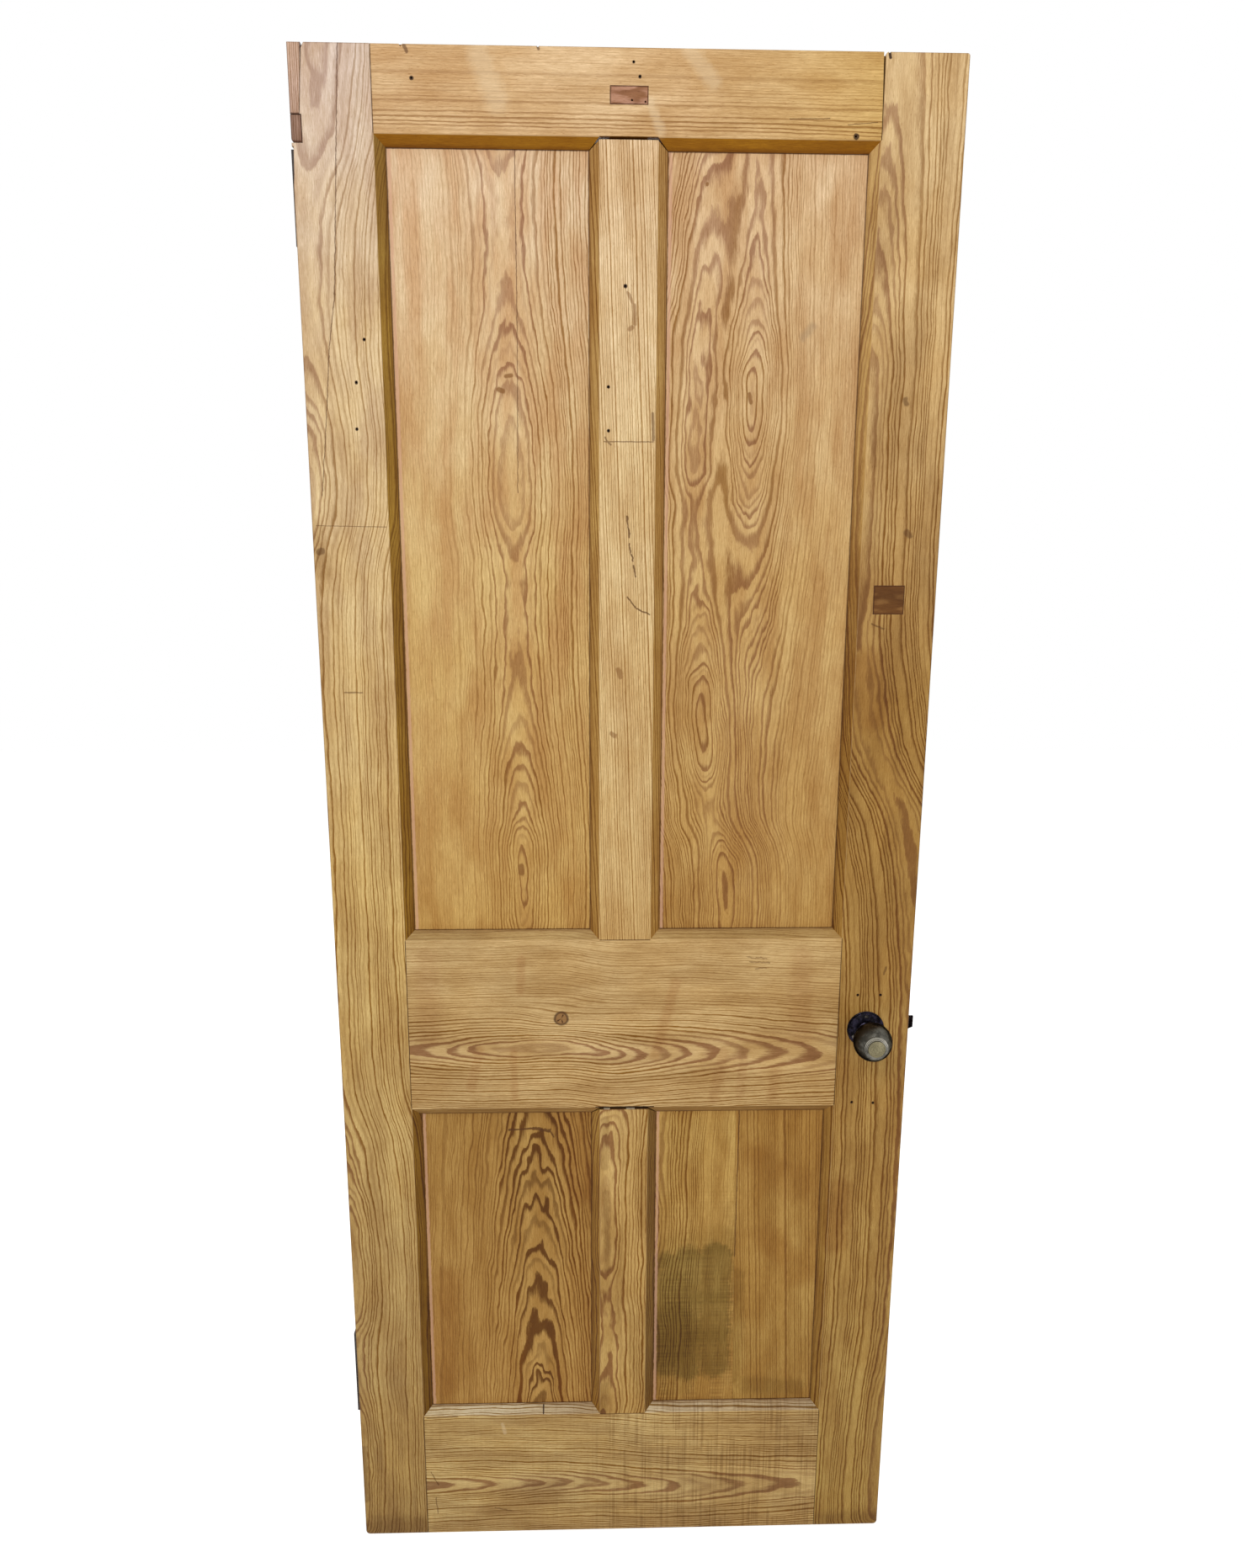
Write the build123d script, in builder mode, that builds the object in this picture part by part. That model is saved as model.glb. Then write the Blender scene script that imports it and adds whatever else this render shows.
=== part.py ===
from build123d import *
import os
from math import atan, cos, degrees, pi, radians, sin, sqrt

# A reclaimed four-panel pine door leaf with its butt hinges, knobs and mortice latch.
# X runs across the leaf, Y from its front face to its back, Z up.
# The origin is at the bottom of the leaf, halfway across it and halfway through it.
# Every size is in millimetres.

os.makedirs("parts", exist_ok=True)

# Leaf
leaf_width = 762.0
leaf_height = 1981.0
leaf_thickness = 38.0
hinge_stile_width = 91.0
lock_stile_width = 95.0
top_rail_height = 90.0
lock_rail_height = 240.0
lock_rail_bottom = 690.0
bottom_rail_height = 201.0
upper_muntin_width = 66.0
lower_muntin_width = 64.0

# Bevel worked on the frame round each opening, with the groove behind it
bevel_width = 12.0
bevel_lip = 1.2
groove_depth = 9.0
groove_play = 0.15
panel_thickness = 16.0
panel_side_play = 2.0

# Shrinkage seen at the joints
shoulder_gap = 0.4
upper_muntin_gap = 3.5
lower_muntin_gap = 3.0
muntin_mitre_gap = 1.0
top_rail_shoulder_opening = 2.6

# Tenons and wedges
tenon_thickness = 13.0
tenon_set_in = 4.0
top_tenon_height = 55.0
twin_tenon_height = 56.0
bottom_tenon_height = 56.0
bottom_tenon_rise = 28.0
haunch_depth = 12.0
wedge_thickness = 6.0
wedge_length = 70.0
wedge_tip_short = 8.0
stub_width = 44.0
stub_length = 36.0
stub_play = 3.0

# Repairs, measured from the leaf's edges
fillet_height = 72.0
fillet_top_width = 15.0
fillet_foot_width = 10.0
block_height = 28.0
block_width = 12.0
block_corner = 4.0
repair_depth = 10.0
repair_joint = 0.5
plug_from_edge = 58.5
plug_height_up = 1373.5
plug_size = (38.0, 35.0)
patch_below_top = 48.0
patch_size = (43.0, 19.0)
patch_depth = 8.0
inlay_gap = 0.2

# Old nail and pin holes
nail_radius = 1.2
nail_depth = 12.0

# Split board of the lower right panel
board_joint_top = 119.0
board_joint_lean = 8.0
board_joint_gap = 0.15

# Handle and latch
handle_height = 802.0
backset = 58.0
spindle_size = 8.0
socket_play = 0.05
rose_radius = 25.0
rose_height = 8.5
rose_bore_play = 0.3
rose_screw_circle = 19.0
neck_radius = 9.0
knob_radius = 25.4
knob_centre_out = 41.0
knob_tip_out = 66.0
knob_tip_radius = 11.2
knob_socket_depth = 40.0
grub_radius = 1.9
grub_out = 10.8
spindle_hole_radius = 10.5
case_length = 75.0
case_height = 60.0
case_thickness = 15.0
case_wall = 1.5
case_play = 0.4
pillar_radius = 3.2
faceplate_height = 88.0
faceplate_width = 19.0
faceplate_thickness = 2.5
faceplate_screw_rise = 37.0
bolt_projection = 12.5
bolt_travel = 12.0
bolt_height = 16.0
bolt_thickness = 11.0
bolt_tip_thickness = 2.5
bolt_play = 0.2
bolt_head_length = 15.0
tail_thickness = 2.0
tail_half_height = 20.0
lug_thickness = 3.0
follower_turn = 60.0
follower_thickness = 6.4
follower_hub_radius = 10.0
journal_radius = 8.0
journal_play = 0.05
mesh_gap = 0.3
contact_start = 0.1
arm_back = 5.0
spring_stop_radius = 2.0
spring_stop_out = 21.0
spring_wire = 0.8
spring_wire_sides = 6
spring_radius = 3.4
spring_turns = 5
spring_end_play = 0.1

# Butt hinges
plate_thickness = 3.0
leaf_gap = 0.6
pin_behind_back = 6.5
knuckle_radius = 5.5
knuckle_count = 5
knuckle_end_play = 0.2
knuckle_relief = 0.5
pin_radius = 3.0
pin_play = 0.05
pin_head_radius = 4.6
pin_head_height = 3.0
upper_hinge_top_below = 105.0
upper_hinge_length = 102.0
upper_hinge_front = 12.0
lower_hinge_bottom = 211.0
lower_hinge_length = 127.0
lower_hinge_front = 5.0
frame_holes_drop = 1.2
worn_edge_depth = 2.2
worn_edge_height = 50.0

# Wear on the leaf's outline
outer_arris = 0.8
foot_corner = 6.0
top_corner = 3.0
nick_in = 3.0

# Screws
screw_play = 0.12
hinge_screw = {"head_radius": 4.6, "shank_radius": 2.5, "length": 30.0}
plate_screw = {"head_radius": 3.8, "shank_radius": 2.0, "length": 22.0}
rose_screw = {"head_radius": 2.6, "shank_radius": 1.4, "length": 12.0}
cover_screw = {"head_radius": 2.4, "shank_radius": 1.4, "length": 7.0}

# Places that follow from the sizes above
left_edge = -leaf_width / 2
right_edge = leaf_width / 2
left_arris = left_edge + hinge_stile_width
right_arris = right_edge - lock_stile_width
front = -leaf_thickness / 2
back = leaf_thickness / 2
top_rail_bottom = leaf_height - top_rail_height
lock_rail_top = lock_rail_bottom + lock_rail_height
muntin_middle = (left_arris + right_arris) / 2
panel_recess = (leaf_thickness - panel_thickness) / 2
bevel_depth = panel_recess - bevel_lip
face_plane = Plane.XZ.offset(leaf_thickness / 2)
tenon_plane = Plane.XZ.offset(tenon_thickness / 2)


def muntin_sides(width):
    return muntin_middle - width / 2, muntin_middle + width / 2


upper_left_side, upper_right_side = muntin_sides(upper_muntin_width)
lower_left_side, lower_right_side = muntin_sides(lower_muntin_width)

# Each opening is the rectangle inside the arrises: left, right, bottom, top.
upper_left_opening = (left_arris, upper_left_side, lock_rail_top, top_rail_bottom)
upper_right_opening = (upper_right_side, right_arris, lock_rail_top, top_rail_bottom)
lower_left_opening = (left_arris, lower_left_side, bottom_rail_height, lock_rail_bottom)
lower_right_opening = (lower_right_side, right_arris, bottom_rail_height, lock_rail_bottom)


def box_points(x0, x1, z0, z1):
    return [(x0, z0), (x1, z0), (x1, z1), (x0, z1)]


def bevel_strip(opening, side, drop=0.0, mitre_drop=0.0):
    """Outline of the bevel along one side of an opening, mitred at both ends."""
    x0, x1, z0, z1 = opening
    w = bevel_width
    strips = {
        "left": [(x0, z0), (x0, z1 - drop), (x0 + w, z1 - w - mitre_drop), (x0 + w, z0 + w)],
        "right": [(x1, z0), (x1, z1 - drop), (x1 - w, z1 - w - mitre_drop), (x1 - w, z0 + w)],
        "bottom": [(x0, z0), (x1, z0), (x1 - w, z0 + w), (x0 + w, z0 + w)],
        "top": [(x0, z1), (x1, z1), (x1 - w, z1 - w), (x0 + w, z1 - w)],
    }
    return strips[side]


def opening_void(opening):
    """What is cut out of the frame at an opening: both bevels, the daylight and the panel groove."""
    x0, x1, z0, z1 = opening
    middle = ((x0 + x1) / 2, (z0 + z1) / 2)
    reach = bevel_width - groove_depth
    with BuildPart() as void:
        with BuildSketch(Plane.XZ.offset(-back)):
            with Locations(middle):
                Rectangle(x1 - x0, z1 - z0)
        extrude(amount=bevel_depth, taper=degrees(atan(bevel_width / bevel_depth)))
        mirror(about=Plane.XZ)
        with BuildSketch(face_plane):
            with Locations(middle):
                Rectangle(x1 - x0 - 2 * bevel_width, z1 - z0 - 2 * bevel_width)
        extrude(amount=-leaf_thickness)
        groove = panel_thickness + 2 * groove_play
        with BuildSketch(Plane.XZ.offset(groove / 2)):
            with Locations(middle):
                Rectangle(x1 - x0 - 2 * reach, z1 - z0 - 2 * reach)
        extrude(amount=-groove)
    return void.part


upper_left_void = opening_void(upper_left_opening)
upper_right_void = opening_void(upper_right_opening)
lower_left_void = opening_void(lower_left_opening)
lower_right_void = opening_void(lower_right_opening)

# Through tenons of each rail, as the height of the foot and the head of each
top_tenons = [(top_rail_bottom + tenon_set_in, top_rail_bottom + tenon_set_in + top_tenon_height)]
lock_tenons = [
    (lock_rail_bottom + tenon_set_in, lock_rail_bottom + tenon_set_in + twin_tenon_height),
    (lock_rail_top - tenon_set_in - twin_tenon_height, lock_rail_top - tenon_set_in),
]
bottom_tenons = [
    (bottom_tenon_rise, bottom_tenon_rise + bottom_tenon_height),
    (bottom_rail_height - tenon_set_in - bottom_tenon_height, bottom_rail_height - tenon_set_in),
]
top_haunch = (top_rail_bottom + tenon_set_in, leaf_height)
lock_haunch = (lock_rail_bottom + tenon_set_in, lock_rail_top - tenon_set_in)
bottom_haunch = (0.0, bottom_rail_height - tenon_set_in)


def wedged_mortice(tenon, edge, arris):
    """Side view of a through mortice that spreads towards the leaf's edge for its two wedges."""
    low, high = tenon
    spread = edge + wedge_length * (1 if arris > edge else -1)
    return [
        (arris, low),
        (spread, low),
        (edge, low - wedge_thickness),
        (edge, high + wedge_thickness),
        (spread, high),
        (arris, high),
    ]


def wedge_pair(tenon, edge, inward):
    """Side views of the wedges below and above one tenon's end."""
    tip = edge + inward * (wedge_length - wedge_tip_short)
    tip_thickness = wedge_thickness * wedge_tip_short / wedge_length
    wedges = []
    for height, outward in ((tenon[0], -1), (tenon[1], 1)):
        wedges.append(
            [
                (edge, height),
                (tip, height),
                (tip, height + outward * tip_thickness),
                (edge, height + outward * wedge_thickness),
            ]
        )
    return wedges


def nick_points(x, width, depth):
    """Outline of a chip knocked out of the leaf's top edge."""
    top = leaf_height + 1
    return [(x - width / 2, top), (x - width / 8, leaf_height - depth), (x + width / 2, top)]


def nail_holes(places):
    """Old nail holes in the front face, taken away from the part that is being built."""
    with Locations(*[Plane(origin=(x, front, z), z_dir=(0, -1, 0)) for x, z in places]):
        Hole(nail_radius, depth=nail_depth)


def screw_shape(head_radius, shank_radius, length):
    """A slotted countersunk screw, head up at the origin."""
    neck = head_radius - shank_radius
    point = 2.5 * shank_radius
    with BuildPart() as shape:
        with BuildSketch(Plane.XZ):
            Polygon(
                (0, 0),
                (head_radius, 0),
                (shank_radius, -neck),
                (shank_radius, point - length),
                (0, -length),
            )
        revolve(axis=Axis.Z)
        Box(3 * head_radius, 0.24 * head_radius, 0.7 * neck, mode=Mode.SUBTRACT)
    return shape.part


def screw_hole_shape(head_radius, shank_radius, length):
    """The hole for such a screw, open above its head."""
    neck = head_radius - shank_radius
    wide = head_radius + screw_play
    narrow = shank_radius + screw_play
    with BuildPart() as shape:
        with BuildSketch(Plane.XZ):
            Polygon(
                (0, head_radius),
                (wide, head_radius),
                (wide, 0),
                (narrow, -neck),
                (narrow, -length - screw_play),
                (0, -length - screw_play),
            )
        revolve(axis=Axis.Z)
    return shape.part


# Butt hinges. The door leaf is let into the stile's edge, and the frame leaf lies folded over it.
pin_x = left_edge - leaf_gap / 2
pin_y = back + pin_behind_back


def knuckle_spans(bottom, length, own):
    """Foot and height of the knuckles of one leaf: the frame leaf has the odd ones."""
    pitch = length / knuckle_count
    first = 0 if own == "frame" else 1
    return [(bottom + i * pitch, pitch) for i in range(first, knuckle_count, 2)]


def hinge_screw_places(bottom, length, plate_front, face_x, outward):
    """Four screws in zigzag, on planes that look out of the plate."""
    width = back - plate_front
    rows = (plate_front + 0.28 * width, plate_front + 0.66 * width)
    rises = (0.12, 0.38, 0.62, 0.88)
    return [
        Plane(origin=(face_x, rows[i % 2], bottom + rise * length), z_dir=(outward, 0, 0))
        for i, rise in enumerate(rises)
    ]


def hinge_leaf(bottom, length, plate_front, own):
    """One leaf: its plate, its knuckles, and the room it leaves for the other leaf's knuckles."""
    other = "frame" if own == "door" else "door"
    gap_face = left_edge if own == "door" else left_edge - leaf_gap
    far_face = gap_face + plate_thickness * (1 if own == "door" else -1)
    with BuildPart() as leaf:
        with BuildSketch(Plane.XY.offset(bottom)):
            Polygon(
                (gap_face, plate_front), (far_face, plate_front), (far_face, pin_y), (gap_face, pin_y)
            )
        extrude(amount=length)
        for foot, pitch in knuckle_spans(bottom, length, other):
            with BuildSketch(Plane.XY.offset(foot - knuckle_end_play)):
                with Locations((pin_x, pin_y)):
                    Circle(knuckle_radius + knuckle_relief)
            extrude(amount=pitch + 2 * knuckle_end_play, mode=Mode.SUBTRACT)
        for foot, pitch in knuckle_spans(bottom, length, own):
            with BuildSketch(Plane.XY.offset(foot)):
                with Locations((pin_x, pin_y)):
                    Circle(knuckle_radius)
            extrude(amount=pitch)
        with BuildSketch(Plane.XY.offset(bottom)):
            with Locations((pin_x, pin_y)):
                Circle(pin_radius + pin_play)
        extrude(amount=length, mode=Mode.SUBTRACT)
        # Each leaf was drilled by itself, and the frame leaf's holes came out a little lower.
        outward, drop = (-1, 0) if own == "door" else (1, frame_holes_drop)
        with Locations(*hinge_screw_places(bottom - drop, length, plate_front, gap_face, outward)):
            CounterSinkHole(
                hinge_screw["shank_radius"] + screw_play,
                hinge_screw["head_radius"] + screw_play,
                depth=3 * plate_thickness,
                counter_sink_angle=90,
            )
    return leaf.part


def hinge_pin(bottom, length):
    """The pin, with a low button head that rests on the top knuckle."""
    with BuildPart() as pin:
        with BuildSketch(Plane.XY.offset(bottom)):
            with Locations((pin_x, pin_y)):
                Circle(pin_radius)
        extrude(amount=length)
        with BuildSketch(Plane.XY.offset(bottom + length)):
            with Locations((pin_x, pin_y)):
                Circle(pin_head_radius)
        extrude(amount=pin_head_height)
        fillet(pin.edges().group_by(Axis.Z)[-1], radius=0.45 * pin_head_height)
    return pin.part


def hinge_screws(bottom, length, plate_front):
    screw = screw_shape(**hinge_screw)
    with BuildPart() as screws:
        with Locations(*hinge_screw_places(bottom, length, plate_front, left_edge, -1)):
            add(screw)
    return screws.part


def hinge_housing(bottom, length, plate_front):
    """The sinking for the door leaf and its screw holes, cut from the stile."""
    screw_hole = screw_hole_shape(**hinge_screw)
    with BuildPart() as housing:
        with BuildSketch(Plane.XY.offset(bottom - groove_play)):
            Polygon(
                (left_edge - 1, plate_front - groove_play),
                (left_edge + plate_thickness, plate_front - groove_play),
                (left_edge + plate_thickness, back + 1),
                (left_edge - 1, back + 1),
            )
        extrude(amount=length + 2 * groove_play)
        with Locations(*hinge_screw_places(bottom, length, plate_front, left_edge, -1)):
            add(screw_hole)
    return housing.part


upper_hinge = (
    leaf_height - upper_hinge_top_below - upper_hinge_length,
    upper_hinge_length,
    front + upper_hinge_front,
)
lower_hinge = (lower_hinge_bottom, lower_hinge_length, front + lower_hinge_front)
for hinge_name, hinge in (("upper_hinge", upper_hinge), ("lower_hinge", lower_hinge)):
    hinge_pieces = {
        "door_leaf": hinge_leaf(*hinge, "door"),
        "frame_leaf": hinge_leaf(*hinge, "frame"),
        "pin": hinge_pin(*hinge[:2]),
        "screws": hinge_screws(*hinge),
    }
    for piece_name, piece in hinge_pieces.items():
        piece.label = f"{hinge_name}_{piece_name}"
        export_step(piece, f"parts/{piece.label}.step")

# Knobs and roses. Profiles are drawn as radius and distance out from the leaf's front face.
spindle_x = right_edge - backset
handle_origin = (spindle_x, front, handle_height)
handle_plane = Plane(origin=handle_origin, x_dir=(1, 0, 0), z_dir=(0, 0, -1))
handle_axis = Axis(handle_origin, (0, -1, 0))
spindle_plane = Plane(origin=(spindle_x, 0, handle_height), x_dir=(1, 0, 0), z_dir=(0, -1, 0))
socket_size = spindle_size + 2 * socket_play


def on_sphere(radius):
    """How far out the knob's ball has this radius, on its far side."""
    return knob_centre_out + sqrt(knob_radius**2 - radius**2)


with BuildPart() as front_knob:
    flare_radius = 1.4 * neck_radius
    flare_out = 2 * knob_centre_out - on_sphere(flare_radius)
    ring_radii = [16.7, 15.3, 13.9, 12.5]
    with BuildSketch(handle_plane):
        with BuildLine():
            neck = Polyline((0, 1.5), (neck_radius, 1.5), (neck_radius, flare_out - 4.5))
            flare = RadiusArc(neck @ 1, (flare_radius, flare_out), 6.0)
            ThreePointArc(
                flare @ 1, (knob_radius, knob_centre_out), (ring_radii[0], on_sphere(ring_radii[0]))
            )
            steps = [(ring_radii[0], on_sphere(ring_radii[0]))]
            for radius in ring_radii[1:] + [knob_tip_radius]:
                steps.append((radius, on_sphere(radius) - 1.2))
                steps.append((radius, on_sphere(radius) - 0.2))
            Polyline(*steps)
            rise = knob_tip_out - steps[-1][1]
            dome_radius = (knob_tip_radius**2 + rise**2) / (2 * rise)
            half_out = knob_tip_out - dome_radius + sqrt(dome_radius**2 - knob_tip_radius**2 / 4)
            ThreePointArc(steps[-1], (knob_tip_radius / 2, half_out), (0, knob_tip_out))
            Line((0, knob_tip_out), (0, 1.5))
        make_face()
    revolve(axis=handle_axis)
    with BuildSketch(spindle_plane.offset(leaf_thickness / 2)):
        Rectangle(socket_size, socket_size)
    extrude(amount=knob_socket_depth, mode=Mode.SUBTRACT)
    neck_foot = (spindle_x, front - grub_out, handle_height - neck_radius)
    with Locations(Plane(origin=neck_foot, z_dir=(0, 0, -1))):
        Hole(grub_radius + screw_play, depth=neck_radius)
front_knob.part.label = "front_knob"
export_step(front_knob.part, "parts/front_knob.step")

with BuildPart() as back_knob:
    mirror(front_knob.part, about=Plane.XZ)
back_knob.part.label = "back_knob"
export_step(back_knob.part, "parts/back_knob.step")

with BuildPart() as knob_grub_screws:
    grub_length = neck_radius - 0.5 - spindle_size / 2
    with BuildSketch(Plane.XY.offset(handle_height - spindle_size / 2)):
        with Locations((spindle_x, front - grub_out)):
            Circle(grub_radius)
    extrude(amount=-grub_length)
    slot_low = handle_height - spindle_size / 2 - grub_length
    with Locations((spindle_x, front - grub_out, slot_low)):
        Box(3 * grub_radius, 0.6, 1.6, mode=Mode.SUBTRACT)
    mirror(about=Plane.XZ)
knob_grub_screws.part.label = "knob_grub_screws"
export_step(knob_grub_screws.part, "parts/knob_grub_screws.step")

with BuildPart() as spindle:
    with BuildSketch(spindle_plane):
        Rectangle(spindle_size, spindle_size)
    extrude(amount=leaf_thickness / 2 + knob_socket_depth - 1, both=True)
spindle.part.label = "spindle"
export_step(spindle.part, "parts/spindle.step")

rose_screw_height = 4.2


def rose_planes(side):
    """Where the heads of the rose's screws lie: side is -1 in front and 1 behind."""
    planes = []
    for angle in (90, 210, 330):
        across = spindle_x + rose_screw_circle * cos(radians(angle))
        up = handle_height + rose_screw_circle * sin(radians(angle))
        out = side * (back + rose_screw_height)
        planes.append(Plane(origin=(across, out, up), z_dir=(0, side, 0)))
    return planes


rose_screw_planes = rose_planes(-1)
back_screw_planes = rose_planes(1)
rose_hole = screw_hole_shape(**rose_screw)
with BuildPart() as front_rose:
    bore_radius = neck_radius + rose_bore_play
    with BuildSketch(handle_plane):
        with BuildLine():
            rim = Polyline(
                (bore_radius, 0),
                (rose_radius, 0),
                (rose_radius, 1.2),
                (rose_radius - 0.8, 1.8),
                (rose_radius - 2.2, 1.8),
            )
            crown = ThreePointArc(rim @ 1, (rose_screw_circle - 1, 4.9), (12.5, 6.6))
            Polyline(
                crown @ 1,
                (12.5, 7.4),
                (11.2, rose_height),
                (bore_radius, rose_height),
                (bore_radius, 0),
            )
        make_face()
    revolve(axis=handle_axis)
    with Locations(*rose_screw_planes):
        add(rose_hole, mode=Mode.SUBTRACT)
front_rose.part.label = "front_rose"
export_step(front_rose.part, "parts/front_rose.step")

with BuildPart() as back_rose:
    mirror(front_rose.part, about=Plane.XZ)
back_rose.part.label = "back_rose"
export_step(back_rose.part, "parts/back_rose.step")

small_screw = screw_shape(**rose_screw)
with BuildPart() as front_rose_screws:
    with Locations(*rose_screw_planes):
        add(small_screw)
front_rose_screws.part.label = "front_rose_screws"
export_step(front_rose_screws.part, "parts/front_rose_screws.step")

with BuildPart() as back_rose_screws:
    mirror(front_rose_screws.part, about=Plane.XZ)
back_rose_screws.part.label = "back_rose_screws"
export_step(back_rose_screws.part, "parts/back_rose_screws.step")

# Mortice latch. Its case lies behind the faceplate, with the spindle through the follower.
case_end = right_edge - faceplate_thickness
case_start = case_end - case_length
half_case = case_thickness / 2
half_room = half_case - case_wall
latch_middle = ((case_start + case_end) / 2, handle_height)
bolt_room = (bolt_thickness + 2 * bolt_play, bolt_height + 2 * bolt_play)
cover_screw_places = [
    (case_start + 6.0, handle_height + case_height / 2 - 5.0),
    (case_end - 6.0, handle_height - case_height / 2 + 5.0),
]
cover_screw_planes = [
    Plane(origin=(x, half_case, z), z_dir=(0, 1, 0)) for x, z in cover_screw_places
]
cover_screw_hole = screw_hole_shape(**cover_screw)

with BuildPart() as latch_case:
    with BuildSketch(Plane.XZ.offset(half_case)):
        with Locations(latch_middle):
            Rectangle(case_length, case_height)
    extrude(amount=case_wall - case_thickness)
    with BuildSketch(Plane.XZ.offset(half_room)):
        with Locations(latch_middle):
            Rectangle(case_length - 2 * case_wall, case_height - 2 * case_wall)
    extrude(amount=-case_thickness, mode=Mode.SUBTRACT)
    with BuildSketch(Plane.XZ.offset(half_room)):
        with Locations((spindle_x + spring_stop_out, handle_height)):
            Circle(spring_stop_radius)
        with Locations(*cover_screw_places):
            Circle(pillar_radius)
    extrude(amount=-2 * half_room)
    with BuildSketch(Plane.XZ.offset(half_case)):
        with Locations((spindle_x, handle_height)):
            Circle(journal_radius + journal_play)
    extrude(amount=-2 * case_wall, mode=Mode.SUBTRACT)
    with BuildSketch(Plane.YZ.offset(case_end)):
        with Locations((0, handle_height)):
            Rectangle(*bolt_room)
    extrude(amount=-2 * case_wall, mode=Mode.SUBTRACT)
    with Locations(*cover_screw_planes):
        add(cover_screw_hole, mode=Mode.SUBTRACT)
latch_case.part.label = "latch_case"
export_step(latch_case.part, "parts/latch_case.step")

with BuildPart() as latch_case_cover:
    with BuildSketch(Plane.XZ.offset(-half_room)):
        with Locations(latch_middle):
            Rectangle(case_length, case_height)
        with Locations((spindle_x, handle_height)):
            Circle(journal_radius + journal_play, mode=Mode.SUBTRACT)
    extrude(amount=-case_wall)
    with Locations(*cover_screw_planes):
        add(cover_screw_hole, mode=Mode.SUBTRACT)
latch_case_cover.part.label = "latch_case_cover"
export_step(latch_case_cover.part, "parts/latch_case_cover.step")

cover_screw_solid = screw_shape(**cover_screw)
with BuildPart() as latch_cover_screws:
    with Locations(*cover_screw_planes):
        add(cover_screw_solid)
latch_cover_screws.part.label = "latch_cover_screws"
export_step(latch_cover_screws.part, "parts/latch_cover_screws.step")

plate_screw_planes = [
    Plane(origin=(right_edge, 0, handle_height + side * faceplate_screw_rise), z_dir=(1, 0, 0))
    for side in (-1, 1)
]
plate_screw_hole = screw_hole_shape(**plate_screw)
with BuildPart() as latch_faceplate:
    with BuildSketch(Plane.YZ.offset(case_end)):
        with Locations((0, handle_height)):
            Rectangle(faceplate_width, faceplate_height)
            Rectangle(*bolt_room, mode=Mode.SUBTRACT)
    extrude(amount=faceplate_thickness)
    with Locations(*plate_screw_planes):
        add(plate_screw_hole, mode=Mode.SUBTRACT)
latch_faceplate.part.label = "latch_faceplate"
export_step(latch_faceplate.part, "parts/latch_faceplate.step")

plate_screw_solid = screw_shape(**plate_screw)
with BuildPart() as latch_faceplate_screws:
    with Locations(*plate_screw_planes):
        add(plate_screw_solid)
latch_faceplate_screws.part.label = "latch_faceplate_screws"
export_step(latch_faceplate_screws.part, "parts/latch_faceplate_screws.step")

# The follower's arms have involute flanks, so the bolt moves in step with the knob.
base_radius = bolt_travel / radians(follower_turn)


def involute(roll):
    """Point on an arm's flank, seen from the front about the spindle, for a roll in radians."""
    angle = pi / 2 - (roll - contact_start)
    return (
        base_radius * (cos(angle) - roll * sin(angle)),
        base_radius * (sin(angle) + roll * cos(angle)),
    )


flank_end = contact_start + radians(follower_turn)
flank = [involute(contact_start + (flank_end - contact_start) * i / 4) for i in range(5)]
arm_reach = sqrt(flank[-1][0] ** 2 + flank[-1][1] ** 2)
lug_face = spindle_x - base_radius * contact_start - mesh_gap

with BuildPart() as latch_follower:
    with BuildSketch(spindle_plane.offset(follower_thickness / 2)):
        with BuildLine():
            Spline(*flank)
            reaches = [flank[-1][0] + arm_back / 2, flank[-1][0] + arm_back]
            crest = [(x, sqrt(arm_reach**2 - x**2)) for x in reaches]
            ThreePointArc(flank[-1], *crest)
            Polyline(crest[-1], (0.9 * follower_hub_radius, 2.0), (0, 2.0), flank[0])
        make_face()
        mirror(about=Plane.XZ)
        Circle(follower_hub_radius)
    extrude(amount=-follower_thickness)
    with BuildSketch(spindle_plane.offset(half_case - 0.1)):
        Circle(journal_radius)
    extrude(amount=0.2 - case_thickness)
    with BuildSketch(spindle_plane.offset(half_case)):
        Rectangle(socket_size, socket_size)
    extrude(amount=-case_thickness, mode=Mode.SUBTRACT)
latch_follower.part.label = "latch_follower"
export_step(latch_follower.part, "parts/latch_follower.step")

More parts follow.
